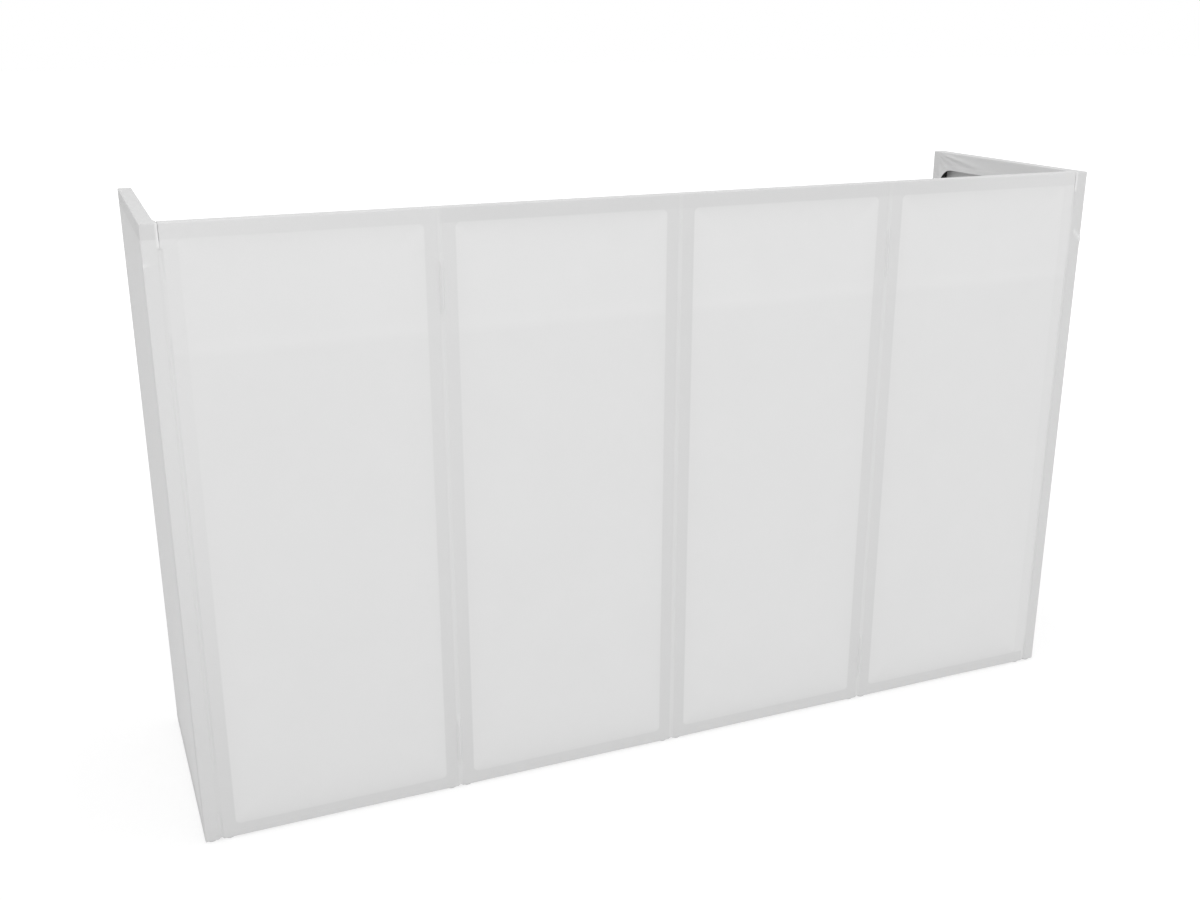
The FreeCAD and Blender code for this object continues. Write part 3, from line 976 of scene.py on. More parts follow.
@dataclass
class FrontCover(Cover):
    """Pocket over one front panel: front sheet, top strip, flap down the back and hem under the rail."""

    body: str
    hood_left: bool
    hood_right: bool
    seed: int
    hood_reach: float
    flap_depth: float = 0.230
    slit_depth: float = 0.043
    layer_blur: float = 0.018
    layer_hem: float = 0.35
    skirt_rise: float = 0.0006
    skirt_fade: float = 0.035
    hem: float = 0.012
    hem_height: float = 0.0003
    flap_stitches: float = 0.85
    under_hem: float = 0.020
    hem_points: tuple[int, int, int] = (6, 7, 5)
    wave: float = 0.00045
    flap_wave: float = 0.0022
    flap_stretch: Pair = (1.6, 0.5)
    flap_sink: float = 0.8
    pucker: float = 0.0009
    pucker_rays: float = 9.0
    pucker_reach: float = 0.02
    step: float = 0.011

    def __post_init__(self) -> None:
        """Reads the panel's limits from the frame."""
        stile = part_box(f"{self.body}_left_stile")
        low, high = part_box(f"{self.body}_cover")
        self.read_heights(stile, high.z)
        self.left = stile[0].x
        self.tube = stile[1].x - self.left
        self.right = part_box(f"{self.body}_right_stile")[1].x
        self.inner = (self.left + self.tube, self.right - self.tube)
        self.front, self.back = low.y, high.y
        self.heart = (self.front + self.back) / 2.0
        lap = EDGE_RADIUS - CLOTH_THICKNESS
        self.start, self.end = self.left + lap, self.right - lap
        self.hood_start, self.hood_end = self.left - self.hood_reach, self.right + self.hood_reach
        self.slit_low = self.top - self.slit_depth
        self.flap_low = self.top - self.flap_depth

    def columns(self) -> Array:
        """Places across the panel, close together at the edges of the tubes."""
        stops = [*tube_stops(self.inner[0], 1), *tube_stops(self.inner[1], -1)]
        return spaced([self.start, *stops, self.end], self.step)

    def rows(self) -> Array:
        """Heights up the front sheet, close together at the rails, the flap's edge and the top.

        Returns:
            The heights from the lower edge to the top.
        """
        blur = self.layer_blur / 2.0
        stops = [self.floor_edge, *(self.floor_edge + self.hem * HEM_STEP)]
        stops += tube_stops(self.rail_low + self.tube, 1)
        stops += [self.flap_low - blur, self.flap_low, self.flap_low + blur, self.slit_low]
        stops += tube_stops(self.rail_top - self.tube, -1)
        return spaced([*stops, *(self.top - EDGE_STOPS[::-1])], self.step)

    def patches(self) -> list[Patch]:
        """Sides of the pocket as flat grids: front, top and flap, and a hood at an end beside a slit.

        Returns:
            The grids, which meet along shared points.
        """
        cols, rows = self.columns(), self.rows()
        over = over_tube(self.front, self.back, TURN_STOPS, self.step)
        hood_rows = rows[rows > self.slit_low - WELD_DISTANCE]
        flap_stops = [self.flap_low, *(self.flap_low + self.hem * HEM_STEP), self.slit_low]
        flap_rows = np.concatenate([spaced(flap_stops, self.step)[:-1], hood_rows])
        top_run = self.top + over - self.front
        patches = [
            flat_patch(Axis.DEEP, self.front, cols, rows, -1),
            flat_patch(Axis.UP, self.top, cols, over, 1, top_run),
            flat_patch(Axis.DEEP, self.back, cols, flap_rows, 1, top_run[-1] + self.top - flap_rows),
        ]
        hoods = (
            (self.hood_left, -1, self.start, self.hood_start),
            (self.hood_right, 1, self.end, self.hood_end),
        )
        for wanted, sign, start, end in hoods:
            if wanted:
                hood = np.concatenate([[start], end - sign * HOOD_RADIUS * EDGE_SHARES[::-1]])
                patches += [
                    flat_patch(Axis.DEEP, self.front, hood, hood_rows, -1),
                    flat_patch(Axis.UP, self.top, hood, over, 1, top_run),
                    flat_patch(Axis.DEEP, self.back, hood, hood_rows, 1),
                    flat_patch(Axis.ACROSS, hood[-1], over, hood_rows, sign),
                ]
        return patches

    def into_hood(self, plain: Array) -> Array:
        """Share of the way into a hood, from its seam to its edge, negative on the pocket."""
        beyond = np.maximum(self.start - plain[:, 0], plain[:, 0] - self.end)
        return beyond / (self.start - self.hood_start)

    def shade(self, plain: Array) -> Array:
        """Painted shade of the tubes behind the cloth and its halo, with each end's own share for how light
        falls there, and painted light on the top.

        Args:
            plain: Points on the plain pocket.

        Returns:
            The darkness at each point.
        """
        across, up = plain[:, 0], plain[:, 2]
        beside = self.beside_stile(np.minimum(across - self.left, self.right - across), up)
        shares = PAINTED_SHADE_SHARES[self.body].across(smooth((across - self.left) / (self.right - self.left)))
        dark = paint_tube_shade(self.depth_inside(plain), beside, shares, up)
        return dark * top_fade(plain, self.front, self.top)

    def layers(self, plain: Array) -> Array:
        """Brightness of the flap seen through the front sheet, with a little more along the flap's hem.

        Args:
            plain: Points on the plain pocket.

        Returns:
            The share of an extra layer at each point.
        """
        up = plain[:, 2]
        flap = edge_step(up - self.flap_low, self.layer_blur)
        below = np.minimum(up - self.flap_low, self.flap_low + 2.0 * self.hem - up)
        flap += self.layer_hem * edge_step(below, self.layer_blur)
        return (plain[:, 1] < self.heart) * FLAP_LAYER * flap

    def puckers(self, plain: Array) -> Array:
        """Puckers at the end of a slit: rays from it, a sine of the angle there that fades with distance.

        Args:
            plain: Points on the plain pocket.

        Returns:
            Height of the puckers at each point.
        """
        relief = np.zeros(len(plain))
        rise = plain[:, 2] - self.slit_low
        for wanted, corner in ((self.hood_left, self.start), (self.hood_right, self.end)):
            if wanted:
                side = np.abs(plain[:, 0] - corner)
                rays = 0.5 + 0.5 * np.sin(self.pucker_rays * np.arctan2(rise, side + WELD_DISTANCE))
                relief += self.pucker * rays * np.exp(-np.hypot(side, rise) / self.pucker_reach)
        return relief

    def shape(self, plain: Array) -> Array:
        """Round box, then slow ripples where no tube is, the hems, puckers and the arched lower edge.

        The flap's ripples grow from the top rail down to its edge, and it sinks a little into the opening.

        Args:
            plain: Points on the plain pocket.

        Returns:
            The shaped points.
        """
        across, up = plain[:, 0], plain[:, 2]
        low = np.array([self.hood_start if self.hood_left else -math.inf, self.front, -math.inf])
        high = np.array([self.hood_end if self.hood_right else math.inf, self.back, self.top])
        points = rounded(plain, low, high, mixed(EDGE_RADIUS, HOOD_RADIUS, smooth(self.into_hood(plain))))
        behind = plain[:, 1] > self.heart
        outward = np.where(behind, 1.0, -1.0)
        free = edge_step(self.depth_inside(plain), BAND_BLUR)
        sheet = ripple(across, up, self.seed) * self.wave
        wider, longer = self.flap_stretch
        flap = (ripple(across * wider, up * longer, self.seed + 1) - self.flap_sink) * self.flap_wave
        flap *= np.clip((self.top - up) / self.flap_depth, 0.0, 1.0)
        points[:, 1] += outward * free * np.where(behind, flap, sheet)
        edge = np.where(behind, self.flap_low, self.floor_edge)
        points[:, 1] += outward * self.hem_height * hem_step(edge + self.hem * HEM_STEP[1] - up, self.hem)
        points[:, 1] += outward * self.puckers(plain) * (~behind)
        points[:, 2] += np.where(behind, 0.0, self.skirt(across, up))
        return points

    def build_sheet(self, finish: Finish) -> Piece:
        """Pocket as one welded cloth.

        Args:
            finish: Material of the cloth.

        Returns:
            The cloth object.
        """
        shell = weld(self.patches())
        plain = shell.points
        shell.points = self.shape(plain)
        return cloth_object(f"{self.body}_cloth", shell, self.shade(plain), self.layers(plain), finish)

    def build_hem(self, finish: Finish) -> Piece:
        """Strip turned under the bottom rail: two runs and a quarter circle, carried across the panel.

        Args:
            finish: Material of the cloth.

        Returns:
            The hem object.
        """
        run_points, turn_points, rise_points = self.hem_points
        low = self.rail_low - CLOTH_THICKNESS
        middle_deep, middle_up = self.back - EDGE_RADIUS, low + EDGE_RADIUS
        under = np.linspace(self.front + CLOTH_THICKNESS, middle_deep, run_points)[:-1]
        turn = np.linspace(-QUARTER_TURN, 0.0, turn_points)
        turn_deep = middle_deep + EDGE_RADIUS * np.cos(turn)
        turn_up = middle_up + EDGE_RADIUS * np.sin(turn)
        rise = np.linspace(middle_up, low + self.under_hem, rise_points)[1:]
        deep = np.concatenate([under, turn_deep, np.full(len(rise), self.back)])
        up = np.concatenate([np.full(len(under), low), turn_up, rise])
        cols = spaced(self.inner, self.step)
        points = np.stack(np.broadcast_arrays(cols[None, :], deep[:, None], up[:, None]), axis=-1)
        cloth = np.stack(np.meshgrid(cols, path_length(np.stack([deep, up], axis=1))), axis=-1)
        shell = weld([Patch(points, cloth, np.array([0.0, 0.0, -1.0]))])
        # The hem under the rail carries the full painted tube shade
        dark = np.ones(len(shell.points))
        return cloth_object(f"{self.body}_hem", shell, dark, np.zeros_like(dark), finish)

    def build_stitches(self, finish: Finish) -> Piece:
        """Lines of stitches along the flap's hem and along the lower hem of the front sheet.

        Args:
            finish: Material of the thread.

        Returns:
            The stitches as one object.
        """
        across = spaced(self.inner, self.step)
        even = np.ones_like(across)
        low = np.stack([across, self.front * even, self.hem_line(across)], axis=1)
        height = self.flap_low + self.hem * self.flap_stitches
        flap = self.shape(np.stack([across, self.back * even, height * even], axis=1))
        facing = np.zeros_like(low)
        facing[:, 1] = 1.0
        return Stitching().build(f"{self.body}_stitches", [(low, -facing), (flap, facing)], finish)

    def dress(self, cloth: Finish, thread: Finish) -> None:
        """Builds the pocket's pieces and joins them to the panel.

        Args:
            cloth: Material of the cloth.
            thread: Material of the stitches.
        """
        sheet = self.build_sheet(cloth)
        extras = [self.build_hem(cloth), self.build_stitches(thread)]
        length = self.top - self.floor_edge + self.back - self.front + self.flap_depth
        self.declare(sheet, extras, (self.end - self.start, length), ("left", "right"))


@dataclass
class WingCover(Cover):
    """Sleeve over one wing: outside, both ends and top closed, with a window on the inside.

    It is worked out in the wing's own axes: along it from the front end, across from the outside, and up.
    """

    side: Side
    seed: int
    slit_depth: float = 0.043
    window_top: float = 0.042
    window_rear: float = 0.028
    window_bottom: float = 0.040
    window_radius: float = 0.045
    window_rise: Pair = (0.02, 0.04)
    skirt_rise: float = 0.0006
    skirt_fade: float = 0.035
    hem: float = 0.012
    hem_height: float = 0.0004
    hem_shares: Point = (0.12, 0.55, 1.0)
    band_columns: int = 13
    wave: float = 0.0006
    fold_height: float = 0.0038
    fold_start: float = 0.05
    fold_zone: float = 0.20
    fold_step: float = 0.0035
    folds: tuple[Point, ...] = ((8.5, 2.6, 1.0), (19.0, 4.5, 0.5), (36.0, 7.0, 0.35), (62.0, 9.0, 0.25))
    # Painted light: the lining shows only this share of the painted tube shade
    lining_shown: float = 0.5
    crease_step: float = 0.002
    crease_zone: float = 3.0
    slit_ease: float = 0.0036
    ease_fade: float = 0.03
    lap_step: float = 0.006
    under_step: float = 0.008
    step: float = 0.011

    def __post_init__(self) -> None:
        """Reads the wing's limits from the frame."""
        self.body = f"wing_{self.side.name.lower()}"
        low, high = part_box(f"{self.body}_cover")
        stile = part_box(f"{self.body}_front_stile")
        self.read_heights(stile, high.z)
        self.tube = stile[1].y - stile[0].y
        self.outside = high.x if self.side is Side.RIGHT else -low.x
        self.front_y = low.y
        self.length = high.y - low.y
        self.depth = self.tube + 2.0 * CLOTH_THICKNESS
        self.under = self.rail_low - CLOTH_THICKNESS
        self.inner = (self.tube + CLOTH_THICKNESS, self.length - self.tube - CLOTH_THICKNESS)
        self.slit_low = self.top - self.slit_depth
        self.sill = self.rail_low + self.window_bottom
        self.turns = (self.sill + self.window_radius, self.top - self.window_top - self.window_radius)
        self.rear_edge = self.length - CLOTH_THICKNESS - self.window_rear
        self.lap = self.depth - EDGE_RADIUS
        self.crease = WING_CREASES[self.side]

    def to_frame(self, points: Array) -> Array:
        """Points in the wing's own axes, brought to the frame's axes."""
        along, across, up = points.T
        return np.stack([self.side.value * (self.outside - across), self.front_y + along, up], axis=1)

    def window_edge(self, along: Array) -> Array:
        """Height of the window's upper edge: a smooth step from the slit's end, near the front, to its own.

        Args:
            along: Places along the wing.

        Returns:
            The height at each place.
        """
        start, length = self.window_rise
        return mixed(self.slit_low, self.top - self.window_top, smooth((along - start) / length))

    def band_steps(self, width: Array) -> Array:
        """Distances from the sleeve's edge to the window's edge, close together at both.

        Args:
            width: Width of the band at each place round the window.

        Returns:
            One row of distances for each place.
        """
        inner = (width - self.hem - EDGE_RADIUS)[:, None]
        near = np.broadcast_to(EDGE_STOPS, (len(width), len(EDGE_STOPS)))
        middle = EDGE_RADIUS + inner * np.linspace(0.0, 1.0, self.band_columns)[1:]
        hem = (width - self.hem)[:, None] + self.hem * np.array(self.hem_shares)
        return np.concatenate([near, middle, hem], axis=1)

    def columns(self) -> Array:
        """Places along the wing, close together at its ends, at the tubes' edges and among the folds.

        Returns:
            The places from the front end to the rear end.
        """
        folded = self.length - self.fold_zone
        plain = spaced([*TURN_STOPS, *tube_stops(self.inner[0]), folded], self.step)
        rear = [folded, *tube_stops(self.inner[1]), *(self.length - TURN_STOPS[::-1])]
        return np.concatenate([plain[:-1], spaced(rear, self.fold_step)])

    def rows(self) -> Array:
        """Heights up the wing, close together at the rails, the hems, the crease and the folds.

        Returns:
            The heights from the lower edge to the top.
        """
        stops = [self.floor_edge, self.under, self.floor_edge + self.hem * HEM_STEP[1]]
        stops += tube_stops(self.rail_low + self.tube)
        stops += [self.sill, self.turns[0], self.top - self.fold_zone]
        hood = self.top - self.band_steps(np.array([self.slit_depth]))[0]
        close = spaced([stops[-1], self.turns[1], hood[-1]], self.fold_step)
        rows = np.concatenate([spaced(stops, self.step)[:-1], close[:-1], hood[::-1]])
        margin = self.crease_zone * self.crease.width
        low = min(self.crease.outer, self.crease.inner) - margin
        high = max(self.crease.outer, self.crease.inner) + margin
        return np.concatenate([rows[rows < low], spaced([low, high], self.crease_step), rows[rows > high]])

    def lining(self, cols: Array, rows: Array) -> Patch:
        """Lining round the window: straight rays from the sleeve's edge to the window's rounded edge.

        The edge runs back along the top, down the rear and forward along the bottom. A ray meets the window
        straight across from a straight run, and at an even turn round the quarter circle of a corner.

        Args:
            cols: Places along the wing.
            rows: Heights up the wing.

        Returns:
            The grid of rays.
        """
        down = rows[rows > self.under - WELD_DISTANCE][::-1]
        forward = cols[cols > self.inner[0] - WELD_DISTANCE][::-1]
        along = np.concatenate([cols, np.full(len(down) - 1, self.length), forward[1:]])
        up = np.concatenate([np.full(len(cols), self.top), down[1:], np.full(len(forward) - 1, self.under)])
        low_turn, high_turn = self.turns
        turn_at = self.rear_edge - self.window_radius
        past, beyond = along - turn_at, self.length - turn_at
        high = np.clip((past + (self.top - up)) / (beyond + self.top - high_turn), 0.0, 1.0)
        low = np.clip((past + (up - self.under)) / (beyond + low_turn - self.under), 0.0, 1.0)
        upper = up > (high_turn + low_turn) / 2.0
        angle = np.where(upper, 1.0 - high, low - 1.0) * QUARTER_TURN
        edge_along = np.minimum(along, turn_at) + self.window_radius * np.cos(angle) * (along > turn_at)
        level = np.where(upper, np.clip(up, None, high_turn), np.clip(up, low_turn, None))
        edge_up = level + self.window_radius * np.sin(angle)
        edge_up = np.where(upper & (along <= turn_at), self.window_edge(along), edge_up)
        ray = np.stack([edge_along - along, edge_up - up], axis=1)
        width = np.linalg.norm(ray, axis=1)
        steps = self.band_steps(width) / width[:, None]
        points = np.empty((len(along), steps.shape[1], 3))
        points[..., 0] = along[:, None] + ray[:, :1] * steps
        points[..., 1] = self.depth
        points[..., 2] = up[:, None] + ray[:, 1:] * steps
        self.window_path = points[:, -len(self.hem_shares)].copy()
        return Patch(points, points[..., [0, 2]].copy(), np.array([0.0, 1.0, 0.0]))

    def patches(self) -> list[Patch]:
        """Sides of the sleeve as flat grids: outside, ends, hood at the slit, top, strip under, lining.

        Returns:
            The grids, which meet along shared points.
        """
        cols, rows = self.columns(), self.rows()
        lap = np.concatenate([EDGE_STOPS, spaced([EDGE_RADIUS, self.lap], self.lap_step)[1:]])
        turn = self.lap + EDGE_STOPS
        over = np.concatenate([lap, turn[1:]])
        hood_rows = rows[rows > self.slit_low - WELD_DISTANCE]
        inside = (cols > self.inner[0] - WELD_DISTANCE) & (cols < self.inner[1] + WELD_DISTANCE)
        under = spaced([CLOTH_THICKNESS, self.depth], self.under_step)
        return [
            flat_patch(Axis.DEEP, 0.0, cols, rows, -1),
            flat_patch(Axis.ACROSS, 0.0, lap, rows, -1),
            flat_patch(Axis.ACROSS, 0.0, turn, hood_rows, -1),
            flat_patch(Axis.ACROSS, self.length, over, rows[rows > self.under - WELD_DISTANCE], 1),
            flat_patch(Axis.ACROSS, self.length, over, rows[rows < self.under + WELD_DISTANCE], 1),
            flat_patch(Axis.UP, self.top, cols, over, 1, self.top + over),
            flat_patch(Axis.UP, self.under, cols[inside], under, -1),
            self.lining(cols, rows),
        ]

    def shade(self, plain: Array) -> Array:
        """Painted shade of the tubes behind the cloth and its halo, with painted light on the top and on
        the lining.

        Args:
            plain: Points on the plain sleeve, in the wing's axes.

        Returns:
            The darkness at each point.
        """
        along, across, up = plain.T
        beside = self.beside_stile(np.minimum(along, self.length - along), up)
        shares = PAINTED_SHADE_SHARES[self.body].across(np.zeros(len(plain)))
        dark = paint_tube_shade(self.depth_inside(plain), beside, shares, up)
        # Painted light on the top of the sleeve, and less painted shade on the lining
        level = np.where(up > self.top - EDGE_RADIUS / 2.0, TOP_LIT_SHARE, 1.0)
        return dark * np.where(across > self.lap, np.minimum(level, self.lining_shown), level)

    def slit_edge(self, plain: Array) -> Array:
        """1 along the turned edge of the slit, where a painted highlight goes, fading to 0 over the edge's
        radius.

        Args:
            plain: Points on the plain sleeve, in the wing's axes.

        Returns:
            The share at each point.
        """
        along, across, up = plain.T
        beside_slit = (up > self.slit_low) & (along < EDGE_RADIUS)
        return beside_slit * smooth((across - self.lap) / EDGE_RADIUS)

    def fold_relief(self, along: Array, up: Array) -> Array:
        """Folds of the lining that fan out from its upper rear corner.

        Each fold is a bell curve across an angle at that corner. All of them grow from the corner by a
        smooth step and fade away from it by another bell curve.

        Args:
            along: Places along the wing.
            up: Heights.

        Returns:
            Height of the relief.
        """
        back, down = self.length - along, self.top - up
        away = np.hypot(back, down)
        angle = np.degrees(np.arctan2(down, back + WELD_DISTANCE))
        fan = sum(size * np.exp(-(((angle - at) / width) ** 2)) for at, width, size in self.folds)
        fade = np.exp(-((away / self.fold_zone) ** 2))
        return self.fold_height * fan * smooth(away / self.fold_start) * fade

    def crease_relief(self, plain: Array) -> Array:
        """Small crease of the front strip: a bell curve across a slanting line, fading from the outer edge.

        Args:
            plain: Points on the plain sleeve, in the wing's axes.

        Returns:
            Height of the relief, 0 behind the front strip.
        """
        along, across, up = plain.T
        line = mixed(self.crease.outer, self.crease.inner, across / self.depth)
        bell = np.exp(-(((up - line) / self.crease.width) ** 2))
        fade = np.exp(-across / self.crease.reach) * smooth((self.lap - across) / self.crease.width)
        return np.where(along < WELD_DISTANCE, self.crease.size * fade * bell, 0.0)

    def window_distance(self, along: Array, up: Array) -> Array:
        """Distance from the window: from a rectangle with round rear corners that is open at the front.

        Args:
            along: Places along the wing.
            up: Heights.

        Returns:
            Distance outside the window.
        """
        behind = np.clip(along - self.rear_edge + self.window_radius, 0.0, None)
        beyond = np.clip(np.maximum(self.turns[0] - up, up - self.turns[1]), 0.0, None)
        return np.hypot(behind, beyond) - self.window_radius

    def shape(self, plain: Array) -> Array:
        """Round box, then slow ripples outside, folds and hem inside, the crease and the arched lower edge.

        Above the slit the sleeve is a little wider at its front end, fading back by a smooth step.

        Args:
            plain: Points on the plain sleeve, in the wing's axes.

        Returns:
            The shaped points, still in the wing's axes.
        """
        along, across, up = plain.T
        slit = up > self.slit_low - WELD_DISTANCE
        ease = self.slit_ease * slit * (1.0 - smooth((along - self.tube) / self.ease_fade))
        lean = np.clip((across - self.lap) / EDGE_RADIUS, 0.0, 1.0)
        eased = np.stack([along, across + ease * lean, up], axis=1)
        low = np.array([0.0, 0.0, -math.inf])
        high = np.stack(np.broadcast_arrays(self.length, self.depth + ease, self.top), axis=1)
        points = rounded(eased, low, high, mixed(EDGE_RADIUS, HOOD_RADIUS, lean * ease / self.slit_ease))
        outside, inside = across < WELD_DISTANCE, across > self.depth - WELD_DISTANCE
        free = edge_step(self.depth_inside(plain), BAND_BLUR)
        points[:, 1] += np.where(outside, ripple(along, up, self.seed) * self.wave * free, 0.0)
        clear = smooth((self.top - up) / self.hem) * smooth((self.length - along) / self.hem)
        hem = self.hem_height * hem_step(self.hem - self.window_distance(along, up), self.hem)
        points[:, 1] += np.where(inside, self.fold_relief(along, up) * clear + hem, 0.0)
        points[:, 0] -= self.crease_relief(plain)
        points[:, 2] += np.where(outside, self.skirt(along, up), 0.0)
        return points

    def build_sheet(self, finish: Finish) -> Piece:
        """Sleeve as one welded cloth, turned over on the left, where the wing's axes mirror the frame's.

        Args:
            finish: Material of the cloth.

        Returns:
            The cloth object.
        """
        shell = weld(self.patches())
        plain = shell.points
        # Painted highlight along the slit's edge and on the crease, where the painted tube shade is also
        # taken away
        turned = np.maximum(self.slit_edge(plain), self.crease_relief(plain) / self.crease.size)
        shell.points = self.to_frame(self.shape(plain))
        if self.side is Side.LEFT:
            shell.quads = shell.quads[:, ::-1]
            shell.cloth = shell.cloth.reshape(-1, 4, 2)[:, ::-1].reshape(-1, 2)
        shade = self.shade(plain) * (1.0 - turned)
        return cloth_object(f"{self.body}_cloth", shell, shade, EDGE_HIGHLIGHT * turned, finish)

    def build_stitches(self, finish: Finish) -> Piece:
        """Lines of stitches round the window and along the lower hem outside.

        Args:
            finish: Material of the thread.

        Returns:
            The stitches as one object.
        """
        window = self.to_frame(self.shape(self.window_path))
        along = spaced(self.inner, self.step)
        low = self.to_frame(np.stack([along, np.zeros_like(along), self.hem_line(along)], axis=1))
        inward = np.array([-self.side.value, 0.0, 0.0])
        lines = ((window, inward), (low, -inward))
        rows = [(path, np.tile(facing, (len(path), 1))) for path, facing in lines]
        return Stitching().build(f"{self.body}_stitches", rows, finish)

    def cut_area(self) -> float:
        """Flat area of the cut: outside, both ends, top, lining without its window, and the strip under.

        Returns:
            The area in square metres.
        """
        height = self.top - self.floor_edge
        window = self.rear_edge * (height - self.window_top - self.window_bottom)
        return 2.0 * self.length * height + 2.0 * self.depth * (height + self.length) - window

    def dress(self, cloth: Finish, thread: Finish) -> None:
        """Builds the sleeve's pieces and joins them to the wing.

        Args:
            cloth: Material of the cloth.
            thread: Material of the stitches.
        """
        sheet = self.build_sheet(cloth)
        stitches = self.build_stitches(thread)
        flat = (2.0 * (self.length + self.depth), self.top - self.floor_edge + self.depth)
        self.declare(sheet, [stitches], flat, ("front", "rear"), self.cut_area())


@dataclass
class JointStrip:
    """Narrow strip of the cover across one joint."""

    joint: str
    bodies: tuple[str, str]
    limits: Pair
    front: float
    back: float
    floor_edge: float
    top: float
    over_top: bool
    barrel_ahead: bool
    shown: PaintedShadeShares
    groove: Groove
    scallop: float = 0.0025
    scallop_fade: float = 0.02
    bead: float = 0.0045
    hinge_reach: float = 0.030
    top_zone: float = 0.012
    top_ease: float = 0.02
    columns: int = 15
    fine_step: float = 0.004
    step: float = 0.011

    def __post_init__(self) -> None:
        """Reads the heights of the joint's hinges from the frame."""
        lap = EDGE_RADIUS - CLOTH_THICKNESS
        self.start, self.end = self.limits[0] - lap, self.limits[1] + lap
        self.middle = sum(self.limits) / 2.0
        self.half_gap = (self.limits[1] - self.limits[0]) / 2.0
        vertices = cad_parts[f"{self.joint}_pins"].data.vertices
        places = np.zeros(len(vertices) * 3)
        vertices.foreach_get("co", places)
        pins = places[2::3]
        cut = (pins.min() + pins.max()) / 2.0
        self.hinges = tuple((part.min(), part.max()) for part in (pins[pins < cut], pins[pins > cut]))

    def at_hinge(self, up: Array) -> Array:
        """1 along each hinge, fading to 0 by a smooth step within a reach beyond its ends.

        Args:
            up: Heights.

        Returns:
            The share at each height.
        """
        reach = self.hinge_reach
        inside = [np.minimum(up - low + reach, high + reach - up) for low, high in self.hinges]
        return np.maximum.reduce([smooth(distance / reach) for distance in inside])

    def gap_wave(self, across: Array) -> Array:
        """Half a cosine wave across the gap, 1 in its middle and 0 at the tubes."""
        return np.cos(np.clip(across / self.half_gap, -1.0, 1.0) * QUARTER_TURN)

    def rows(self) -> Array:
        """Heights up the strip, close together at the lower edge, along the hinges and at the top.

        Returns:
            The heights from the lower edge to the top.
        """
        reached = self.floor_edge + self.scallop_fade
        runs = [spaced([self.floor_edge, reached], self.fine_step)]
        for low, high in self.hinges:
            stops = [low - self.hinge_reach, low, high, high + self.hinge_reach]
            runs += [spaced([reached, stops[0]], self.step), spaced(stops, self.fine_step)]
            reached = stops[-1]
        ends = self.top - EDGE_STOPS[::-1] if self.over_top else (self.top - self.top_zone, self.top)
        runs.append(spaced([reached, *ends], self.step))
        return np.concatenate([*(run[:-1] for run in runs), [self.top]])

    def patches(self) -> list[Patch]:
        """Front of the strip as a flat grid and, where it goes over the top, the top and its turn.

        Columns are closer at both sides, by a cosine of their number.

        Returns:
            The grids, which meet along shared points.
        """
        shares = (1.0 - np.cos(np.linspace(0.0, math.pi, self.columns))) / 2.0
        cols = mixed(self.start, self.end, shares)
        patches = [flat_patch(Axis.DEEP, self.front, cols, self.rows(), -1)]
        if self.over_top:
            over = over_tube(self.front, self.back, EDGE_STOPS, self.step)
            patches.append(flat_patch(Axis.UP, self.top, cols, over, 1, self.top + over - self.front))
            patches.append(flat_patch(Axis.DEEP, self.back, cols, self.top - EDGE_STOPS[::-1], 1))
        return patches

    def shape(self, plain: Array) -> Array:
        """Round edges, a shallow groove over the gap, a scalloped lower edge, a bead over a barrel ahead.

        The groove is half a cosine wave across the gap. The bead is a whole raised cosine along each hinge.

        Args:
            plain: Points on the plain strip.

        Returns:
            The shaped points.
        """
        low = np.array([-math.inf, self.front, -math.inf])
        high = np.array([math.inf, self.back, self.top if self.over_top else math.inf])
        points = rounded(plain, low, high, np.full(len(plain), EDGE_RADIUS))
        across, up = plain[:, 0] - self.middle, plain[:, 2]
        ahead = plain[:, 1] < self.front + WELD_DISTANCE
        hinge = self.at_hinge(up)
        ease = smooth((self.top - up) / self.top_ease) if self.over_top else np.ones_like(up)
        dip = self.groove.depth * self.gap_wave(across) * (1.0 - hinge) * ease
        points[:, 1] += np.where(ahead, dip, 0.0)
        if self.barrel_ahead:
            half = (self.end - self.start) / 2.0
            arch = 0.5 + 0.5 * np.cos(np.clip(across / half, -1.0, 1.0) * math.pi)
            points[:, 1] -= np.where(ahead, self.bead * arch * hinge, 0.0)
        lift = self.scallop * self.gap_wave(across)
        points[:, 2] += lift * (1.0 - smooth((up - self.floor_edge) / self.scallop_fade))
        return points

    def shade(self, plain: Array) -> Array:
        """Painted shade of the tubes at both sides, and over the gap between the groove's own painted
        shade, lighter at a fold and darker at a corner's hinges.

        Args:
            plain: Points on the plain strip.

        Returns:
            The darkness at each point.
        """
        across, up = plain[:, 0] - self.middle, plain[:, 2]
        gap = edge_step(self.half_gap - np.abs(across), BAND_BLUR)
        level = mixed(self.groove.gap_shade, self.groove.hinge_shade, self.at_hinge(up))
        stile, rail, floor = self.shown.across(smooth((across + self.half_gap) / (2.0 * self.half_gap)))
        if not self.over_top:
            return height_share(stile, floor, up) * (1.0 + gap * (level - 1.0))
        at_rail = edge_step(up - self.top + self.back - self.front, BAND_BLUR)
        gap *= 1.0 - at_rail / 2.0
        shade = height_share(mixed(stile, rail, at_rail), floor, up) * (1.0 + gap * (level - 1.0))
        return shade * top_fade(plain, self.front, self.top)

    def dress(self, cloth: Finish) -> None:
        """Builds the strip and bakes its place into its points.

        Args:
            cloth: Material of the cloth.
        """
        shell = weld(self.patches())
        shade = self.shade(shell.points)
        shell.points = self.shape(shell.points)
        piece = cloth_object(f"{self.joint}_strip", shell, shade, np.zeros_like(shade), cloth)
        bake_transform(piece)


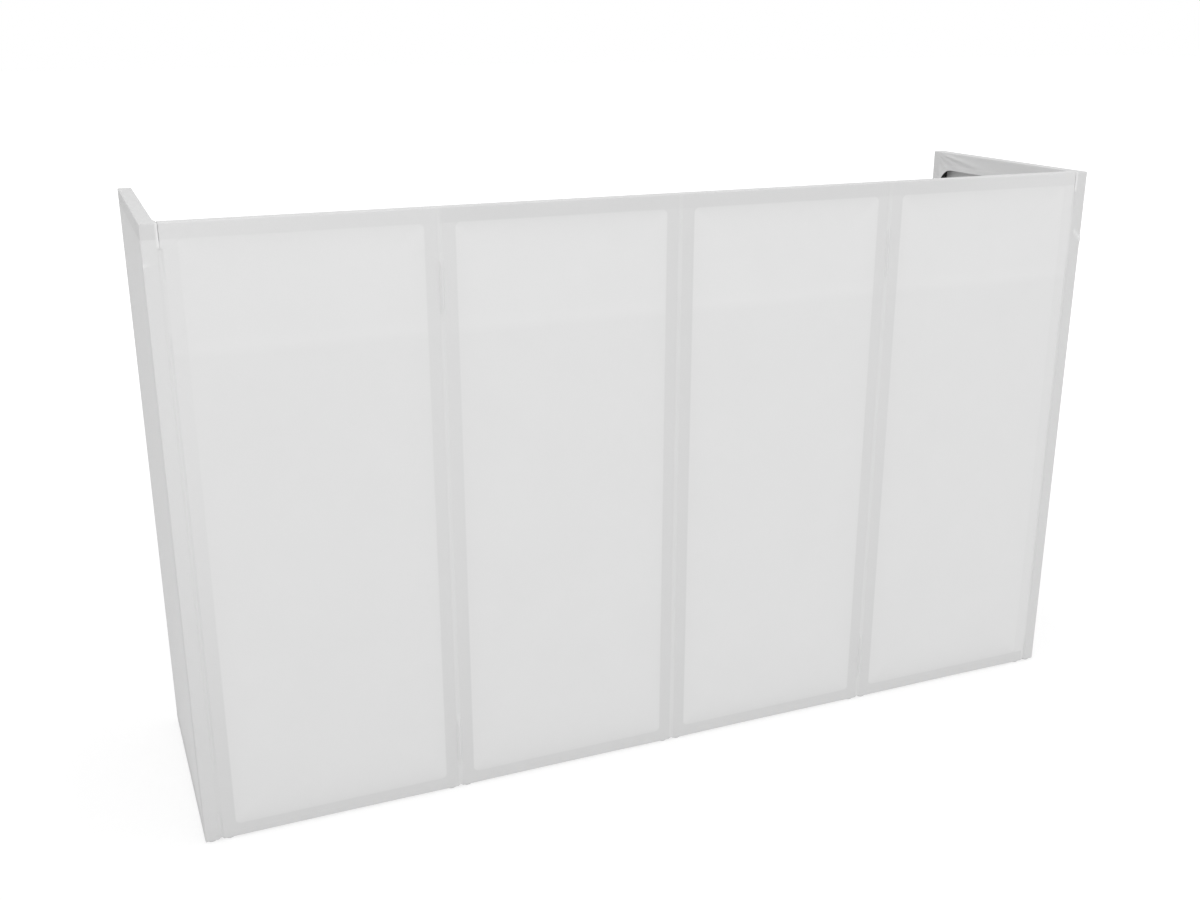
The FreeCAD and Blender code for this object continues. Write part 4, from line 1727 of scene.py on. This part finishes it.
@dataclass
class Hardware:
    """Finishes of the frame's own nodes, chosen by the last word of their names."""

    coat: PowderCoat = PowderCoat()
    hinge: Metal = Metal(
        "black_hinge_steel",
        colour=(0.035, 0.035, 0.036),
        tarnish=(0.02, 0.02, 0.021),
        roughness=(0.34, 0.5),
        marks_per_metre=(500.0, 500.0, 40.0),
        metallic=0.6,
    )
    pin: Metal = Metal("zinc_plated_pin", colour=(0.62, 0.62, 0.60), tarnish=(0.46, 0.46, 0.45))
    rivet: Metal = Metal(
        "bare_aluminium_rivet",
        colour=(0.74, 0.74, 0.75),
        tarnish=(0.55, 0.55, 0.56),
        roughness=(0.3, 0.5),
        marks_per_metre=(700.0, 700.0, 700.0),
    )
    foot: Moulded = Moulded("white_nylon_foot", 0.72, 0.62)
    plug: Moulded = Moulded("black_tube_plug", 0.022, 0.03)

    def dress(self) -> None:
        """Gives each shown node its finish."""
        coat = self.coat.material()
        finishes = {
            "stile": coat,
            "rails": coat,
            "leaves": self.hinge.material(),
            "pins": self.pin.material(),
            "rivets": self.rivet.material(),
            "feet": self.foot.material(),
            "plugs": self.plug.material(),
        }
        for name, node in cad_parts.items():
            finish = finishes.get(name.rsplit("_", 1)[-1])
            if finish is not None:
                node.data.materials.clear()
                node.data.materials.append(finish)
                log.info("%s: %s", name, finish.name)


@dataclass(frozen=True)
class Softbox:
    """Square soft lamp: its place, the point that it faces, its size and its power in watts."""

    name: str
    place: Point
    aim: Point
    size: float
    power: float

    def build(self) -> None:
        """Hangs the lamp and turns it to face its point."""
        lamp = bpy.data.lights.new(self.name, "AREA")
        lamp.size = self.size
        lamp.energy = self.power
        holder = bpy.data.objects.new(self.name, lamp)
        holder.location = self.place
        direction = Vector(self.aim) - Vector(self.place)
        holder.rotation_euler = direction.to_track_quat("-Z", "Y").to_euler()
        bpy.context.scene.collection.objects.link(holder)
        log.info("%s: %.0f watts", self.name, self.power)


@dataclass
class Studio:
    """White floor and surroundings, soft light, and the camera at the photograph's angle."""

    camera_place: Point = (-1.1397, -2.5655, 1.5269)
    camera_pitch: float = 18.277
    camera_yaw: float = -22.778
    lens: float = 39.415
    sensor: float = 36.0
    floor_half: float = 40.0
    floor_level: float = 0.92
    floor_glow: float = 0.74
    floor_share: float = 0.34
    glow_reach: Pair = (1.2, 4.0)
    ambient: float = 0.69
    lamps: tuple[Softbox, ...] = (
        Softbox("key_softbox", (-1.9, -3.9, 3.3), (-0.3, 0.0, 0.7), 2.6, 46.0),
        Softbox("fill_softbox", (3.3, -3.6, 0.9), (0.5, 0.0, 0.5), 2.0, 22.0),
        Softbox("top_softbox", (0.2, -0.2, 4.4), (0.0, 0.0, 0.6), 3.5, 34.0),
    )

    def floor_finish(self) -> Finish:
        """White floor: a plain one for the light, and where it is seen a darker one with a glow added.

        The glow grows to full white away from the facade, so that only the soft shadow stays.

        Returns:
            The material.
        """
        nodes = Surface("white_floor")
        nodes.tree.nodes.remove(nodes.shader)
        away = nodes.add("ShaderNodeVectorMath", {0: nodes.place()}, operation="LENGTH").outputs["Value"]
        light = nodes.fit(away, self.floor_glow, 1.0, *self.glow_reach)
        plain = nodes.add("ShaderNodeBsdfDiffuse", {"Color": grey(self.floor_level)}).outputs[0]
        dark = nodes.add("ShaderNodeBsdfDiffuse", {"Color": grey(self.floor_level * self.floor_share)})
        glow = nodes.add("ShaderNodeEmission", {"Color": grey(1.0), "Strength": light})
        seen = nodes.add("ShaderNodeAddShader", {0: dark.outputs[0], 1: glow.outputs[0]}).outputs[0]
        choice = nodes.add("ShaderNodeMixShader", {0: nodes.seen_rays(), 1: plain, 2: seen}).outputs[0]
        nodes.feed(nodes.tree.nodes["Material Output"].inputs[0], choice)
        return nodes.material

    def build_floor(self) -> None:
        """Level floor that keeps a soft shadow."""
        reach = np.array([-self.floor_half, self.floor_half])
        patch = flat_patch(Axis.UP, 0.0, reach, reach, 1)
        points = patch.points.reshape(-1, 3)
        mesh_object("floor", points, patch.quads().tolist(), self.floor_finish())

    def build_world(self) -> None:
        """White surroundings: full white where they are seen, and a plain level of light elsewhere."""
        world = bpy.data.worlds.new("studio")
        bpy.context.scene.world = world
        nodes = Nodes(world)
        background = nodes.tree.nodes["Background"].inputs
        nodes.feed(background["Color"], grey(1.0))
        nodes.feed(background["Strength"], nodes.fit(nodes.seen_rays(), self.ambient, 1.0))

    def build_camera(self) -> None:
        """Level camera with no shift, turned by its pitch and yaw."""
        camera = bpy.data.cameras.new("photo_camera")
        camera.lens = self.lens
        camera.sensor_width = self.sensor
        holder = bpy.data.objects.new("photo_camera", camera)
        holder.location = self.camera_place
        holder.rotation_euler = (math.radians(90.0 - self.camera_pitch), 0.0, math.radians(self.camera_yaw))
        bpy.context.scene.collection.objects.link(holder)
        bpy.context.scene.camera = holder

    def build(self) -> None:
        """Sets up the floor, the light and the camera."""
        self.build_floor()
        self.build_world()
        for lamp in self.lamps:
            lamp.build()
        self.build_camera()
        bpy.context.scene.view_settings.view_transform = "Standard"


def joint_strips(covers: dict[str, FrontCover], wings: dict[Side, WingCover]) -> list[JointStrip]:
    """Strips of the five joints, placed between the panels that each joins.

    Args:
        covers: Pockets of the front panels by body.
        wings: Sleeves of the wings by side.

    Returns:
        The strips, from left to right.
    """
    first, second, third, last = covers.values()
    left_inside, right_inside = (
        side.value * (wing.outside - wing.depth + CLOTH_THICKNESS) for side, wing in wings.items()
    )
    places = {
        "corner_left": ("wing_left", "front_1", left_inside, first.left, False),
        "fold_left": ("front_1", "front_2", first.right, second.left, True),
        "fold_centre": ("front_2", "front_3", second.right, third.left, False),
        "fold_right": ("front_3", "front_4", third.right, last.left, True),
        "corner_right": ("front_4", "wing_right", last.right, right_inside, False),
    }
    strips = []
    for joint, (before, after, start, end, barrel_ahead) in places.items():
        fold = joint.startswith("fold")
        left, right = PAINTED_SHADE_SHARES[before], PAINTED_SHADE_SHARES[after]
        ends = ((left.stiles, right.stiles), (left.rails, right.rails), (left.floor, right.floor))
        strip = JointStrip(
            joint=joint,
            bodies=(before, after),
            limits=(start, end),
            front=first.front,
            back=first.back,
            floor_edge=first.floor_edge,
            top=first.top if fold else first.slit_low,
            over_top=fold,
            barrel_ahead=barrel_ahead,
            shown=PaintedShadeShares(*((near[1], far[0]) for near, far in ends)),
            groove=FOLD_GROOVE if fold else CORNER_GROOVE,
        )
        strips.append(strip)
    return strips


def main() -> None:
    """Builds the cover, finishes the frame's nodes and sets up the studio."""
    logging.basicConfig(level=logging.INFO, format="%(name)s %(message)s")
    cloth, thread = StretchCloth().material(), SewingThread().material()
    covers = {
        body: FrontCover(
            body=body,
            hood_left=body == FRONT_BODIES[0],
            hood_right=body == FRONT_BODIES[-1],
            seed=seed,
            hood_reach=HOOD_REACH.get(body, 0.0),
        )
        for seed, body in enumerate(FRONT_BODIES, start=FIRST_FRONT_SEED)
    }
    wings = {side: WingCover(side, seed) for seed, side in enumerate(Side, start=FIRST_WING_SEED)}
    for cover in (*covers.values(), *wings.values()):
        cover.dress(cloth, thread)
    for strip in joint_strips(covers, wings):
        strip.dress(cloth)
    Hardware().dress()
    Studio().build()


if __name__ == "__main__":
    main()
